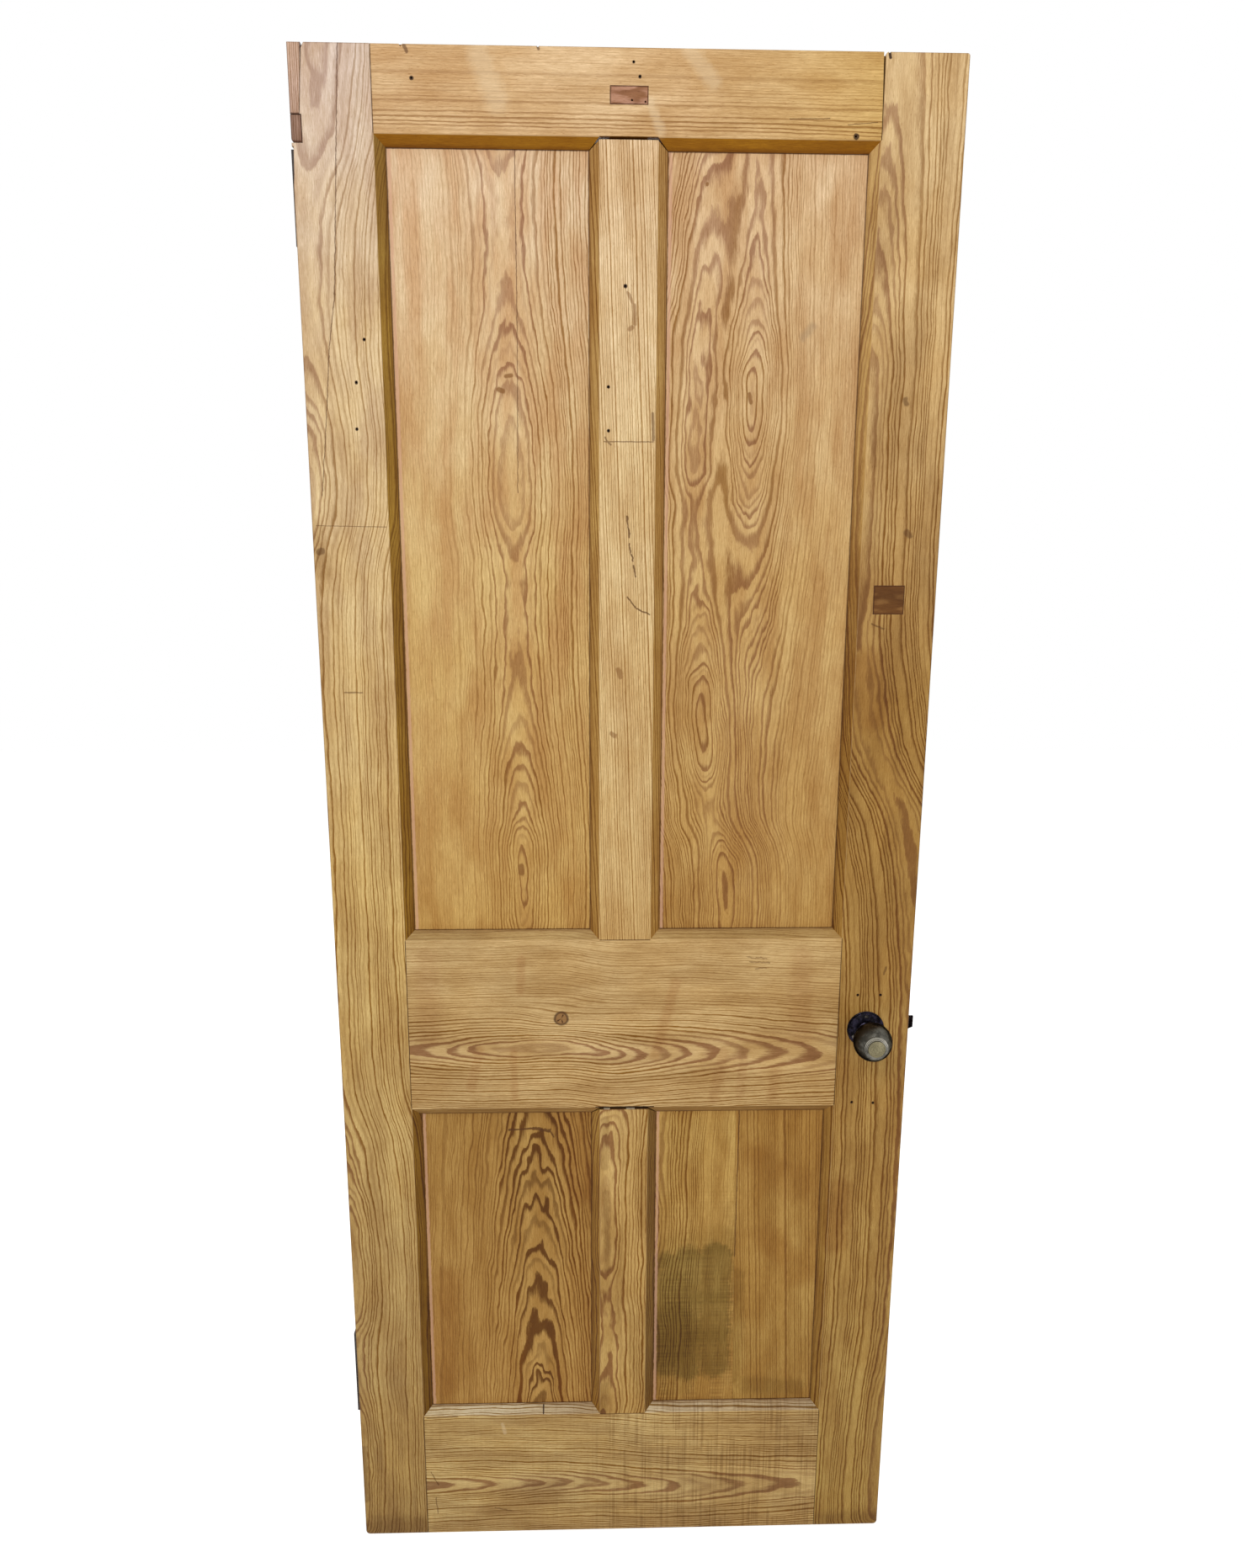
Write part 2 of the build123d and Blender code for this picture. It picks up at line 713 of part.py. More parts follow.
bolt_back = right_edge - bolt_head_length
bolt_tip = right_edge + bolt_projection
half_bolt = bolt_thickness / 2
slot_half_height = journal_radius + 0.5
slot_end = spindle_x + spring_stop_out + spring_stop_radius + bolt_travel + 0.5
tail_length = bolt_back + 2.0 - lug_face + lug_thickness
lug_low = base_radius - 0.8
spring_y = spring_radius - half_bolt + tail_thickness + 0.7
guide_length = 4.0
with BuildPart() as latch_bolt:
    with BuildSketch(Plane.XY.offset(handle_height - bolt_height / 2)):
        Polygon(
            (bolt_back, -half_bolt),
            (right_edge + 0.5, -half_bolt),
            (bolt_tip, half_bolt - bolt_tip_thickness),
            (bolt_tip, half_bolt),
            (bolt_back, half_bolt),
        )
    extrude(amount=bolt_height)
    with BuildSketch(Plane.XZ.offset(half_bolt)):
        with Locations((lug_face - lug_thickness, handle_height)):
            Rectangle(tail_length, 2 * tail_half_height, align=(Align.MIN, Align.CENTER))
        with Locations((slot_end, handle_height)):
            Rectangle(
                tail_length,
                2 * slot_half_height,
                align=(Align.MAX, Align.CENTER),
                mode=Mode.SUBTRACT,
            )
    extrude(amount=-tail_thickness)
    with BuildSketch(Plane.XZ.offset(half_bolt)):
        for side in (-1, 1):
            lug_middle = handle_height + side * (lug_low + tail_half_height) / 2
            with Locations((lug_face, lug_middle)):
                Rectangle(lug_thickness, tail_half_height - lug_low, align=(Align.MAX, Align.CENTER))
    extrude(amount=-(tail_thickness + follower_thickness + 0.2))
    with BuildSketch(Plane.YZ.offset(bolt_back)):
        with Locations((spring_y, handle_height)):
            Circle(spring_radius - spring_wire)
    extrude(amount=-guide_length)
latch_bolt.part.label = "latch_bolt"
export_step(latch_bolt.part, "parts/latch_bolt.step")

# The spring bears on the case's post and on the back of the bolt's head.
spring_start = spindle_x + spring_stop_out + spring_stop_radius + spring_wire / 2 + spring_end_play
spring_room = bolt_back - spring_wire / 2 - spring_end_play - spring_start
with BuildPart() as latch_spring:
    with BuildLine() as coil:
        Helix(
            pitch=spring_room / spring_turns,
            height=spring_room,
            radius=spring_radius,
            center=(spring_start, spring_y, handle_height),
            direction=(1, 0, 0),
        )
    with BuildSketch(Plane(origin=coil.line @ 0, z_dir=coil.line % 0)):
        RegularPolygon(spring_wire / 2, spring_wire_sides)
    sweep()
latch_spring.part.label = "latch_spring"
export_step(latch_spring.part, "parts/latch_spring.step")

# Repairs, as outlines seen from the front
fillet_foot = leaf_height - fillet_height
fillet_outline = [
    (left_edge, fillet_foot),
    (left_edge + fillet_foot_width, fillet_foot),
    (left_edge + fillet_top_width, leaf_height),
    (left_edge, leaf_height),
]
fillet_pocket = [
    (left_edge - 1, fillet_foot - repair_joint),
    (left_edge + fillet_foot_width + repair_joint, fillet_foot - repair_joint),
    (left_edge + fillet_top_width + repair_joint, leaf_height - 6),
    (left_edge + fillet_top_width + 4, leaf_height + 1),
    (left_edge - 1, leaf_height + 1),
]
block_top = fillet_foot - 2 * repair_joint
block_foot = block_top - block_height
block_outline = box_points(left_edge, left_edge + block_width, block_foot, block_top)
block_pocket = box_points(
    left_edge - 1, left_edge + block_width + repair_joint, block_foot - repair_joint, fillet_foot
)

with BuildPart() as hinge_edge_fillet:
    with BuildSketch(face_plane):
        Polygon(*fillet_outline)
    extrude(amount=-repair_depth)
    fillet(edges().filter_by(Axis.Z).group_by(Axis.X)[0].sort_by(Axis.Y)[0], radius=outer_arris)
hinge_edge_fillet.part.label = "hinge_edge_fillet"
export_step(hinge_edge_fillet.part, "parts/hinge_edge_fillet.step")

with BuildPart() as hinge_edge_block:
    with BuildSketch(face_plane) as block_face:
        Polygon(*block_outline)
        fillet(block_face.vertices().group_by(Axis.Y)[0].sort_by(Axis.X)[0], radius=block_corner)
    extrude(amount=-repair_depth)
    fillet(edges().filter_by(Axis.Z).group_by(Axis.X)[0].sort_by(Axis.Y)[0], radius=outer_arris)
hinge_edge_block.part.label = "hinge_edge_block"
export_step(hinge_edge_block.part, "parts/hinge_edge_block.step")

plug_middle = (right_edge - plug_from_edge, plug_height_up)
with BuildPart() as lock_stile_plug:
    with BuildSketch(face_plane):
        with Locations(plug_middle):
            Rectangle(*plug_size)
    extrude(amount=-repair_depth)
lock_stile_plug.part.label = "lock_stile_plug"
export_step(lock_stile_plug.part, "parts/lock_stile_plug.step")

patch_middle = (muntin_middle, leaf_height - patch_below_top)
patch_nail_places = [
    (patch_middle[0] + 3.2, patch_middle[1] - 5.0),
    (patch_middle[0] + 18.4, patch_middle[1] - 6.5),
]
with BuildPart() as top_rail_patch:
    with BuildSketch(face_plane):
        with Locations(patch_middle):
            Rectangle(*patch_size)
    extrude(amount=-patch_depth)
    nail_holes(patch_nail_places)
top_rail_patch.part.label = "top_rail_patch"
export_step(top_rail_patch.part, "parts/top_rail_patch.step")

# Stiles
with BuildPart() as hinge_stile:
    with BuildSketch(face_plane):
        Polygon(*box_points(left_edge, left_arris, 0, leaf_height))
        for opening in (upper_left_opening, lower_left_opening):
            Polygon(*bevel_strip(opening, "left"))
    extrude(amount=-leaf_thickness)
    outer_corners = edges().filter_by(Axis.Y).group_by(Axis.X)[0].sort_by(Axis.Z)
    fillet(outer_corners[0], radius=foot_corner)
    fillet(edges().filter_by(Axis.Z).group_by(Axis.X)[0], radius=outer_arris)
    add(upper_left_void, mode=Mode.SUBTRACT)
    add(lower_left_void, mode=Mode.SUBTRACT)
    with BuildSketch(tenon_plane):
        for tenon in top_tenons + lock_tenons + bottom_tenons:
            Polygon(*wedged_mortice(tenon, left_edge, left_arris))
        for low, high in (top_haunch, lock_haunch, bottom_haunch):
            Polygon(*box_points(left_arris - haunch_depth, left_arris, low, high))
    extrude(amount=-tenon_thickness, mode=Mode.SUBTRACT)
    with BuildSketch(face_plane):
        Polygon(*fillet_pocket)
        Polygon(*block_pocket)
    extrude(amount=-repair_depth, mode=Mode.SUBTRACT)
    add(hinge_housing(*upper_hinge), mode=Mode.SUBTRACT)
    add(hinge_housing(*lower_hinge), mode=Mode.SUBTRACT)
    worn_top = upper_hinge[0] + upper_hinge_length
    with BuildSketch(face_plane):
        Polygon(
            (left_edge - 1, worn_top),
            (left_edge + worn_edge_depth, worn_top),
            (left_edge + 0.6 * worn_edge_depth, worn_top - 0.6 * worn_edge_height),
            (left_edge - 1, worn_top - worn_edge_height),
        )
    extrude(amount=-upper_hinge_front, mode=Mode.SUBTRACT)
    nail_holes(
        [
            (left_arris - 19.2, leaf_height - 309.0),
            (left_arris - 30.5, leaf_height - 356.5),
            (left_arris - 32.3, leaf_height - 409.0),
        ]
    )
hinge_stile.part.label = "hinge_stile"
export_step(hinge_stile.part, "parts/hinge_stile.step")

pin_hole_places = [
    (spindle_x - 12.8, handle_height + 48.7),
    (spindle_x + 17.8, handle_height + 48.6),
    (spindle_x - 13.3, handle_height - 108.0),
    (spindle_x + 15.9, handle_height - 109.4),
]
with BuildPart() as lock_stile:
    with BuildSketch(face_plane):
        Polygon(*box_points(right_arris, right_edge, 0, leaf_height))
        for opening in (upper_right_opening, lower_right_opening):
            Polygon(*bevel_strip(opening, "right"))
    extrude(amount=-leaf_thickness)
    outer_corners = edges().filter_by(Axis.Y).group_by(Axis.X)[-1].sort_by(Axis.Z)
    fillet(outer_corners[0], radius=foot_corner)
    fillet(edges().filter_by(Axis.Y).group_by(Axis.Z)[-1], radius=top_corner)
    fillet(edges().filter_by(Axis.Z).group_by(Axis.X)[-1], radius=outer_arris)
    with BuildSketch(face_plane):
        Polygon(*nick_points(right_arris + 3.8, 3.0, 2.8))
    extrude(amount=-nick_in, mode=Mode.SUBTRACT)
    add(upper_right_void, mode=Mode.SUBTRACT)
    add(lower_right_void, mode=Mode.SUBTRACT)
    with BuildSketch(tenon_plane):
        for tenon in top_tenons + lock_tenons + bottom_tenons:
            Polygon(*wedged_mortice(tenon, right_edge, right_arris))
        for low, high in (top_haunch, lock_haunch, bottom_haunch):
            Polygon(*box_points(right_arris, right_arris + haunch_depth, low, high))
    extrude(amount=-tenon_thickness, mode=Mode.SUBTRACT)
    with BuildSketch(Plane.XZ.offset(half_case + case_play)):
        with Locations((case_start - case_play, handle_height)):
            Rectangle(
                case_length + case_play + faceplate_thickness,
                case_height + 2 * case_play,
                align=(Align.MIN, Align.CENTER),
            )
    extrude(amount=-case_thickness - 2 * case_play, mode=Mode.SUBTRACT)
    with BuildSketch(Plane.YZ.offset(right_edge)):
        with Locations((0, handle_height)):
            Rectangle(faceplate_width + 2 * inlay_gap, faceplate_height + 2 * inlay_gap)
    extrude(amount=-faceplate_thickness, mode=Mode.SUBTRACT)
    with BuildSketch(spindle_plane):
        Circle(spindle_hole_radius)
    extrude(amount=leaf_thickness, both=True, mode=Mode.SUBTRACT)
    with Locations(*plate_screw_planes):
        add(plate_screw_hole, mode=Mode.SUBTRACT)
    with Locations(*rose_screw_planes, *back_screw_planes):
        add(rose_hole, mode=Mode.SUBTRACT)
    with BuildSketch(face_plane):
        with Locations(plug_middle):
            Rectangle(plug_size[0] + 2 * inlay_gap, plug_size[1] + 2 * inlay_gap)
    extrude(amount=-repair_depth, mode=Mode.SUBTRACT)
    nail_holes(pin_hole_places)
lock_stile.part.label = "lock_stile"
export_step(lock_stile.part, "parts/lock_stile.step")

# Rails, with tenons right through the stiles
rail_left = left_arris + shoulder_gap
rail_right = right_arris - shoulder_gap


def tenon_outlines(tenons, haunch):
    """Outlines of a rail's through tenons and of its haunches, from edge to edge of the leaf."""
    outlines = [box_points(left_edge, right_edge, low, high) for low, high in tenons]
    outlines.append(box_points(left_arris - haunch_depth, right_arris + haunch_depth, *haunch))
    return outlines


def stub_mortice(low, high):
    return box_points(muntin_middle - stub_width / 2, muntin_middle + stub_width / 2, low, high)


with BuildPart() as top_rail:
    with BuildSketch(face_plane):
        Polygon(
            (rail_left, top_rail_bottom),
            (rail_right, top_rail_bottom),
            (right_arris - top_rail_shoulder_opening, leaf_height),
            (rail_left, leaf_height),
        )
        for opening in (upper_left_opening, upper_right_opening):
            Polygon(*bevel_strip(opening, "top"))
    extrude(amount=-leaf_thickness)
    fillet(edges().filter_by(Axis.X).group_by(Axis.Z)[-1], radius=outer_arris)
    with BuildSketch(face_plane):
        Polygon(*nick_points(left_arris + 34.6, 5.0, 3.6))
        Polygon(*nick_points(muntin_middle - 101.5, 4.0, 2.2))
    extrude(amount=-nick_in, mode=Mode.SUBTRACT)
    add(upper_left_void, mode=Mode.SUBTRACT)
    add(upper_right_void, mode=Mode.SUBTRACT)
    with BuildSketch(tenon_plane):
        for outline in tenon_outlines(top_tenons, top_haunch):
            Polygon(*outline)
    extrude(amount=-tenon_thickness)
    with BuildSketch(tenon_plane):
        Polygon(*stub_mortice(top_rail_bottom, top_rail_bottom + stub_length + stub_play))
    extrude(amount=-tenon_thickness, mode=Mode.SUBTRACT)
    with BuildSketch(face_plane):
        with Locations(patch_middle):
            Rectangle(patch_size[0] + 2 * inlay_gap, patch_size[1] + 2 * inlay_gap)
    extrude(amount=-patch_depth, mode=Mode.SUBTRACT)
    nail_holes(
        patch_nail_places
        + [
            (muntin_middle + 4.8, leaf_height - 14.3),
            (muntin_middle + 12.0, leaf_height - 29.0),
            (left_arris + 45.2, leaf_height - 34.0),
            (right_arris - 30.1, top_rail_bottom + 3.2),
        ]
    )
top_rail.part.label = "top_rail"
export_step(top_rail.part, "parts/top_rail.step")

with BuildPart() as lock_rail:
    with BuildSketch(face_plane):
        Polygon(*box_points(rail_left, rail_right, lock_rail_bottom, lock_rail_top))
        for opening in (upper_left_opening, upper_right_opening):
            Polygon(*bevel_strip(opening, "bottom"))
        for opening in (lower_left_opening, lower_right_opening):
            Polygon(*bevel_strip(opening, "top"))
    extrude(amount=-leaf_thickness)
    add(upper_left_void, mode=Mode.SUBTRACT)
    add(upper_right_void, mode=Mode.SUBTRACT)
    add(lower_left_void, mode=Mode.SUBTRACT)
    add(lower_right_void, mode=Mode.SUBTRACT)
    with BuildSketch(tenon_plane):
        for outline in tenon_outlines(lock_tenons, lock_haunch):
            Polygon(*outline)
    extrude(amount=-tenon_thickness)
    with BuildSketch(tenon_plane):
        Polygon(*stub_mortice(lock_rail_bottom, lock_rail_bottom + stub_length + stub_play))
        Polygon(*stub_mortice(lock_rail_top - stub_length - stub_play, lock_rail_top))
    extrude(amount=-tenon_thickness, mode=Mode.SUBTRACT)
lock_rail.part.label = "lock_rail"
export_step(lock_rail.part, "parts/lock_rail.step")

with BuildPart() as bottom_rail:
    with BuildSketch(face_plane):
        Polygon(*box_points(rail_left, rail_right, 0, bottom_rail_height))
        for opening in (lower_left_opening, lower_right_opening):
            Polygon(*bevel_strip(opening, "bottom"))
    extrude(amount=-leaf_thickness)
    fillet(edges().filter_by(Axis.X).group_by(Axis.Z)[0], radius=outer_arris)
    add(lower_left_void, mode=Mode.SUBTRACT)
    add(lower_right_void, mode=Mode.SUBTRACT)
    with BuildSketch(tenon_plane):
        for outline in tenon_outlines(bottom_tenons, bottom_haunch):
            Polygon(*outline)
    extrude(amount=-tenon_thickness)
    with BuildSketch(tenon_plane):
        Polygon(*stub_mortice(bottom_rail_height - stub_length - stub_play, bottom_rail_height))
    extrude(amount=-tenon_thickness, mode=Mode.SUBTRACT)
bottom_rail.part.label = "bottom_rail"
export_step(bottom_rail.part, "parts/bottom_rail.step")

# Muntins. Their upper shoulders have dropped away from the rail above.
with BuildPart() as upper_muntin:
    shoulder = top_rail_bottom - upper_muntin_gap
    with BuildSketch(face_plane):
        Polygon(*box_points(upper_left_side, upper_right_side, lock_rail_top, shoulder))
        for opening, side in ((upper_left_opening, "right"), (upper_right_opening, "left")):
            Polygon(*bevel_strip(opening, side, upper_muntin_gap, muntin_mitre_gap))
    extrude(amount=-leaf_thickness)
    add(upper_left_void, mode=Mode.SUBTRACT)
    add(upper_right_void, mode=Mode.SUBTRACT)
    with BuildSketch(tenon_plane):
        Polygon(*stub_mortice(lock_rail_top - stub_length, shoulder + stub_length))
    extrude(amount=-tenon_thickness)
    nail_holes(
        [
            (muntin_middle - 3.3, top_rail_bottom - 158.0),
            (muntin_middle - 22.8, top_rail_bottom - 269.2),
            (muntin_middle - 22.7, top_rail_bottom - 319.0),
        ]
    )
upper_muntin.part.label = "upper_muntin"
export_step(upper_muntin.part, "parts/upper_muntin.step")

with BuildPart() as lower_muntin:
    shoulder = lock_rail_bottom - lower_muntin_gap
    with BuildSketch(face_plane):
        Polygon(*box_points(lower_left_side, lower_right_side, bottom_rail_height, shoulder))
        for opening, side in ((lower_left_opening, "right"), (lower_right_opening, "left")):
            Polygon(*bevel_strip(opening, side, lower_muntin_gap, muntin_mitre_gap))
    extrude(amount=-leaf_thickness)
    add(lower_left_void, mode=Mode.SUBTRACT)
    add(lower_right_void, mode=Mode.SUBTRACT)
    with BuildSketch(tenon_plane):
        Polygon(*stub_mortice(bottom_rail_height - stub_length, shoulder + stub_length))
    extrude(amount=-tenon_thickness)
lower_muntin.part.label = "lower_muntin"
export_step(lower_muntin.part, "parts/lower_muntin.step")


# Panels, flush and undecorated, standing loose in their grooves on the groove's floor
def panel_bounds(opening):
    x0, x1, z0, z1 = opening
    reach = bevel_width - groove_depth
    side = reach + panel_side_play
    return x0 + side, x1 - side, z0 + reach, z1 - side


def panel_board(outline):
    with BuildPart() as board:
        with BuildSketch(Plane.XZ.offset(panel_thickness / 2)):
            Polygon(*outline)
        extrude(amount=-panel_thickness)
    return board.part


board_x0, board_x1, board_z0, board_z1 = panel_bounds(lower_right_opening)
joint_top = board_x0 - panel_side_play + board_joint_top
joint_foot = joint_top + board_joint_lean
panel_outlines = {
    "upper_left_panel": box_points(*panel_bounds(upper_left_opening)),
    "upper_right_panel": box_points(*panel_bounds(upper_right_opening)),
    "lower_left_panel": box_points(*panel_bounds(lower_left_opening)),
    "lower_right_inner_board": [
        (board_x0, board_z0),
        (joint_foot, board_z0),
        (joint_top, board_z1),
        (board_x0, board_z1),
    ],
    "lower_right_outer_board": [
        (joint_foot + board_joint_gap, board_z0),
        (board_x1, board_z0),
        (board_x1, board_z1),
        (joint_top + board_joint_gap, board_z1),
    ],
}
for panel_name, outline in panel_outlines.items():
    panel = panel_board(outline)
    panel.label = panel_name
    export_step(panel, f"parts/{panel_name}.step")

# Wedges, driven in above and below each tenon from both edges of the leaf
rail_wedges = {
    "top_rail_wedges": top_tenons,
    "lock_rail_wedges": lock_tenons,
    "bottom_rail_wedges": bottom_tenons,
}
for wedge_name, tenons in rail_wedges.items():
    with BuildPart() as wedges:
        with BuildSketch(tenon_plane):
            for tenon in tenons:
                for edge, inward in ((left_edge, 1), (right_edge, -1)):
                    for outline in wedge_pair(tenon, edge, inward):
                        Polygon(*outline)
        extrude(amount=-tenon_thickness)
    wedges.part.label = wedge_name
    export_step(wedges.part, f"parts/{wedge_name}.step")
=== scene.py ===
import bpy
import bmesh
import math
from mathutils import Matrix, Vector

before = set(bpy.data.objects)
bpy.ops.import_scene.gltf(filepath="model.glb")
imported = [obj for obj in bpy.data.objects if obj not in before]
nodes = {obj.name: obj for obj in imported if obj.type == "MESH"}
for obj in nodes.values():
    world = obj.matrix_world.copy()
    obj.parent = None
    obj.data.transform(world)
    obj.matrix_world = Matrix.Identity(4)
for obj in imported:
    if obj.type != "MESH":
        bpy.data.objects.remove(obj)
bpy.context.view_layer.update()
# Places on the leaf, in millimetres from its middle plane, its middle and its foot
faceOut = 19
edgeOut, topUp = 380, 1980  # just inside its edges and its top
knobAcross, knobUp = 323, 802
farAway = 9999  # for a second pith or a knot that a board doesn't have
print("frame loaded,", len(nodes), "pieces")


# A number that varies over a surface, so that sums on node sockets read as sums
class Field:
    def __init__(self, tree, socket):
        self.tree, self.socket = tree, socket

    def calc(self, operation, *others):
        node = self.tree.nodes.new("ShaderNodeMath")
        node.operation = operation
        for place, value in enumerate((self, *others)):
            plug(self.tree, value, node.inputs[place])
        return Field(self.tree, node.outputs[0])

    def __add__(self, other):
        return self.calc("ADD", other)

    def __radd__(self, other):
        return self.calc("ADD", other)

    def __sub__(self, other):
        return self.calc("SUBTRACT", other)

    def __rsub__(self, other):
        return (self * -1).calc("ADD", other)

    def __mul__(self, other):
        return self.calc("MULTIPLY", other)

    def __truediv__(self, other):
        return self.calc("DIVIDE", other)

    def __pow__(self, other):
        return self.calc("POWER", other)

    def __abs__(self):
        return self.calc("ABSOLUTE")

    def highest(self, other):
        return self.calc("MAXIMUM", other)

    def lowest(self, other):
        return self.calc("MINIMUM", other)

    def below(self, limit):
        return self.calc("LESS_THAN", limit)

    def above(self, limit):
        return self.calc("GREATER_THAN", limit)

    def step(self, start, end, low=0.0, high=1.0):  # smooth change from low at start to high at end
        node = self.tree.nodes.new("ShaderNodeMapRange")
        node.interpolation_type = "SMOOTHSTEP"
        for place, value in enumerate((self, start, end, low, high)):
            plug(self.tree, value, node.inputs[place])
        return Field(self.tree, node.outputs[0])


def plug(tree, value, socket):
    if isinstance(value, Field):
        tree.links.new(value.socket, socket)
    elif isinstance(value, bpy.types.NodeSocket):
        tree.links.new(value, socket)
    else:
        socket.default_value = value


def joinVector(tree, x, y, z):
    node = tree.nodes.new("ShaderNodeCombineXYZ")
    for place, value in enumerate((x, y, z)):
        plug(tree, value, node.inputs[place])
    return node.outputs[0]


def noise(tree, place, detail=2.0, roughness=0.5):  # from about 0.2 to 0.8 round a half
    node = tree.nodes.new("ShaderNodeTexNoise")
    tree.links.new(joinVector(tree, *place), node.inputs["Vector"])
    node.inputs["Scale"].default_value = 1.0
    node.inputs["Detail"].default_value = detail
    node.inputs["Roughness"].default_value = roughness
    return Field(tree, node.outputs[0])


def lineNoise(tree, place, detail=1.0):  # noise along one number
    node = tree.nodes.new("ShaderNodeTexNoise")
    node.noise_dimensions = "1D"
    plug(tree, place, node.inputs["W"])
    node.inputs["Scale"].default_value = 1.0
    node.inputs["Detail"].default_value = detail
    return Field(tree, node.outputs[0])


def linear(colour):  # eight-bit screen colour to the renderer's
    def one(value):
        value = value / 255
        return value / 12.92 if value <= 0.04045 else ((value + 0.055) / 1.055) ** 2.4
    return (*(one(value) for value in colour), 1.0)


def mixColour(tree, amount, first, second, how="MIX"):
    node = tree.nodes.new("ShaderNodeMix")
    node.data_type = "RGBA"
    node.blend_type = how
    plug(tree, amount, node.inputs["Factor"])
    for socket, value in ((node.inputs["A"], first), (node.inputs["B"], second)):
        plug(tree, value, socket)
    return node.outputs["Result"]


def multiplyTint(tree, amount, colour, tint):  # multiplies, so that what is under it still shows
    return mixColour(tree, amount, colour, (*tint, 1), "MULTIPLY")


def paint(tree, amount, colour, cover):  # covers what is under it with a screen colour
    return mixColour(tree, amount, colour, linear(cover))


def startGroup(name, inputs, outputs):
    tree = bpy.data.node_groups.new(name, "ShaderNodeTree")
    for label, value in inputs.items():
        tree.interface.new_socket(label, in_out="INPUT", socket_type="NodeSocketFloat").default_value = value
    for label in outputs:
        tree.interface.new_socket(label, in_out="OUTPUT", socket_type="NodeSocketFloat")
    entry = tree.nodes.new("NodeGroupInput")
    return tree, {label: Field(tree, entry.outputs[label]) for label in inputs}


def endGroup(tree, results):
    leave = tree.nodes.new("NodeGroupOutput")
    for label, value in results.items():
        plug(tree, value, leave.inputs[label])
    return tree


def useGroup(tree, group, values):
    node = tree.nodes.new("ShaderNodeGroup")
    node.node_tree = group
    for label, value in values.items():
        plug(tree, value, node.inputs[label])
    return {socket.name: Field(tree, socket) for socket in node.outputs}


# Growth rings round one or two piths that lie behind the board's face. All lengths are in millimetres.
def makePineRings():
    tree, g = startGroup("pineRings", {
        "Across": 0, "Along": 0, "Depth": 0, "Pith Across": 0, "Pith Depth": 40,
        "Second Across": farAway, "Second Depth": 40, "Ring Width": 3.4, "Bend": 3, "Wave": 1,
        "Ripple": 1, "Ripple Size": 9, "Seed": 0, "Knot Across": 0, "Knot Along": -farAway, "Knot Size": 1,
    }, ["Late", "Flat", "Fibre", "Fleck", "Tone", "Blotch", "Knot", "Knot Rim", "Knot Crack"])
    across, along, depth, seed = g["Across"], g["Along"], g["Depth"], g["Seed"]
    slow = noise(tree, (across / 60, along / 420, depth / 60 + seed), 1)
    wave = noise(tree, (across / 30, along / 80, depth / 40 + seed + 3), 1)
    size = g["Ripple Size"]
    quick = noise(tree, (across / size, along / (size * 3.2), depth / 12 + seed + 7), 1, 0.5)
    fibre = noise(tree, (across * 1.5, along / 15, depth * 1.5 + seed), 2, 0.8)
    fleck = noise(tree, (across * 1.6, along / 5, depth * 1.6 + seed), 1)
    shift = (slow - 0.5) * 2 * g["Bend"] + (wave - 0.5) * 2 * g["Wave"]

    def radiusFrom(pithAcross, pithDepth):
        away, level = across - pithAcross + shift, pithDepth + depth
        radius = (away * away + level * level) ** 0.5
        return radius, (level / radius) ** 2

    first, firstFlat = radiusFrom(g["Pith Across"], g["Pith Depth"])
    second, secondFlat = radiusFrom(g["Second Across"], g["Second Depth"])
    sharp = 0.12  # the higher, the sharper the line where rings of two piths meet
    joined = (first * -sharp).calc("EXPONENT") + (second * -sharp).calc("EXPONENT")
    radius = joined.calc("LOGARITHM", math.e) * (-1 / sharp)
    knotAcross = across - g["Knot Across"]
    knotAlong = along - g["Knot Along"]
    knotAway = (knotAcross * knotAcross + knotAlong * knotAlong) ** 0.5 / g["Knot Size"]
    pushed = (knotAcross * knotAcross + knotAlong * knotAlong * 0.16) / (g["Knot Size"] * g["Knot Size"])
    bulge = g["Knot Size"] * 1.15 * (pushed * -0.2).calc("EXPONENT")
    bent = radius + (quick - 0.5) * 2 * g["Ripple"] + bulge
    turns = bent / g["Ring Width"] + (lineNoise(tree, bent / 17 + seed) - 0.5) * 2.6
    flat = firstFlat.highest(secondFlat)
    part = (turns + (fibre - 0.5) * (0.26 + flat * 0.2)).calc("FRACT")
    strength = lineNoise(tree, turns.calc("FLOOR") * 0.73 + seed, 0).step(0.28, 0.6, 0.3, 1)
    late = part.step(0.48 - flat * 0.14, 0.84 - flat * 0.1) * part.step(0.92, 1.0, 1, 0) * strength
    tone = noise(tree, (across / 30 + seed, along / 170, depth / 60), 2, 0.65)
    blotch = noise(tree, (across / 75 + seed + 4, along / 120, depth / 90), 2, 0.68)
    rough = knotAway + (quick - 0.5) * 0.4
    star = (knotAlong.calc("ARCTAN2", knotAcross) * 2.5 + 0.6).calc("SINE").step(0.82, 0.99)
    return endGroup(tree, {
        "Late": late, "Flat": flat, "Fibre": fibre, "Fleck": fleck.step(0.63, 0.74), "Tone": tone,
        "Blotch": blotch, "Knot": rough.step(0.8, 1.0, 1, 0),
        "Knot Rim": rough.step(0.72, 0.9) * rough.step(1.0, 1.25, 1, 0),
        "Knot Crack": star * rough.step(0.6, 0.8, 1, 0),
    })


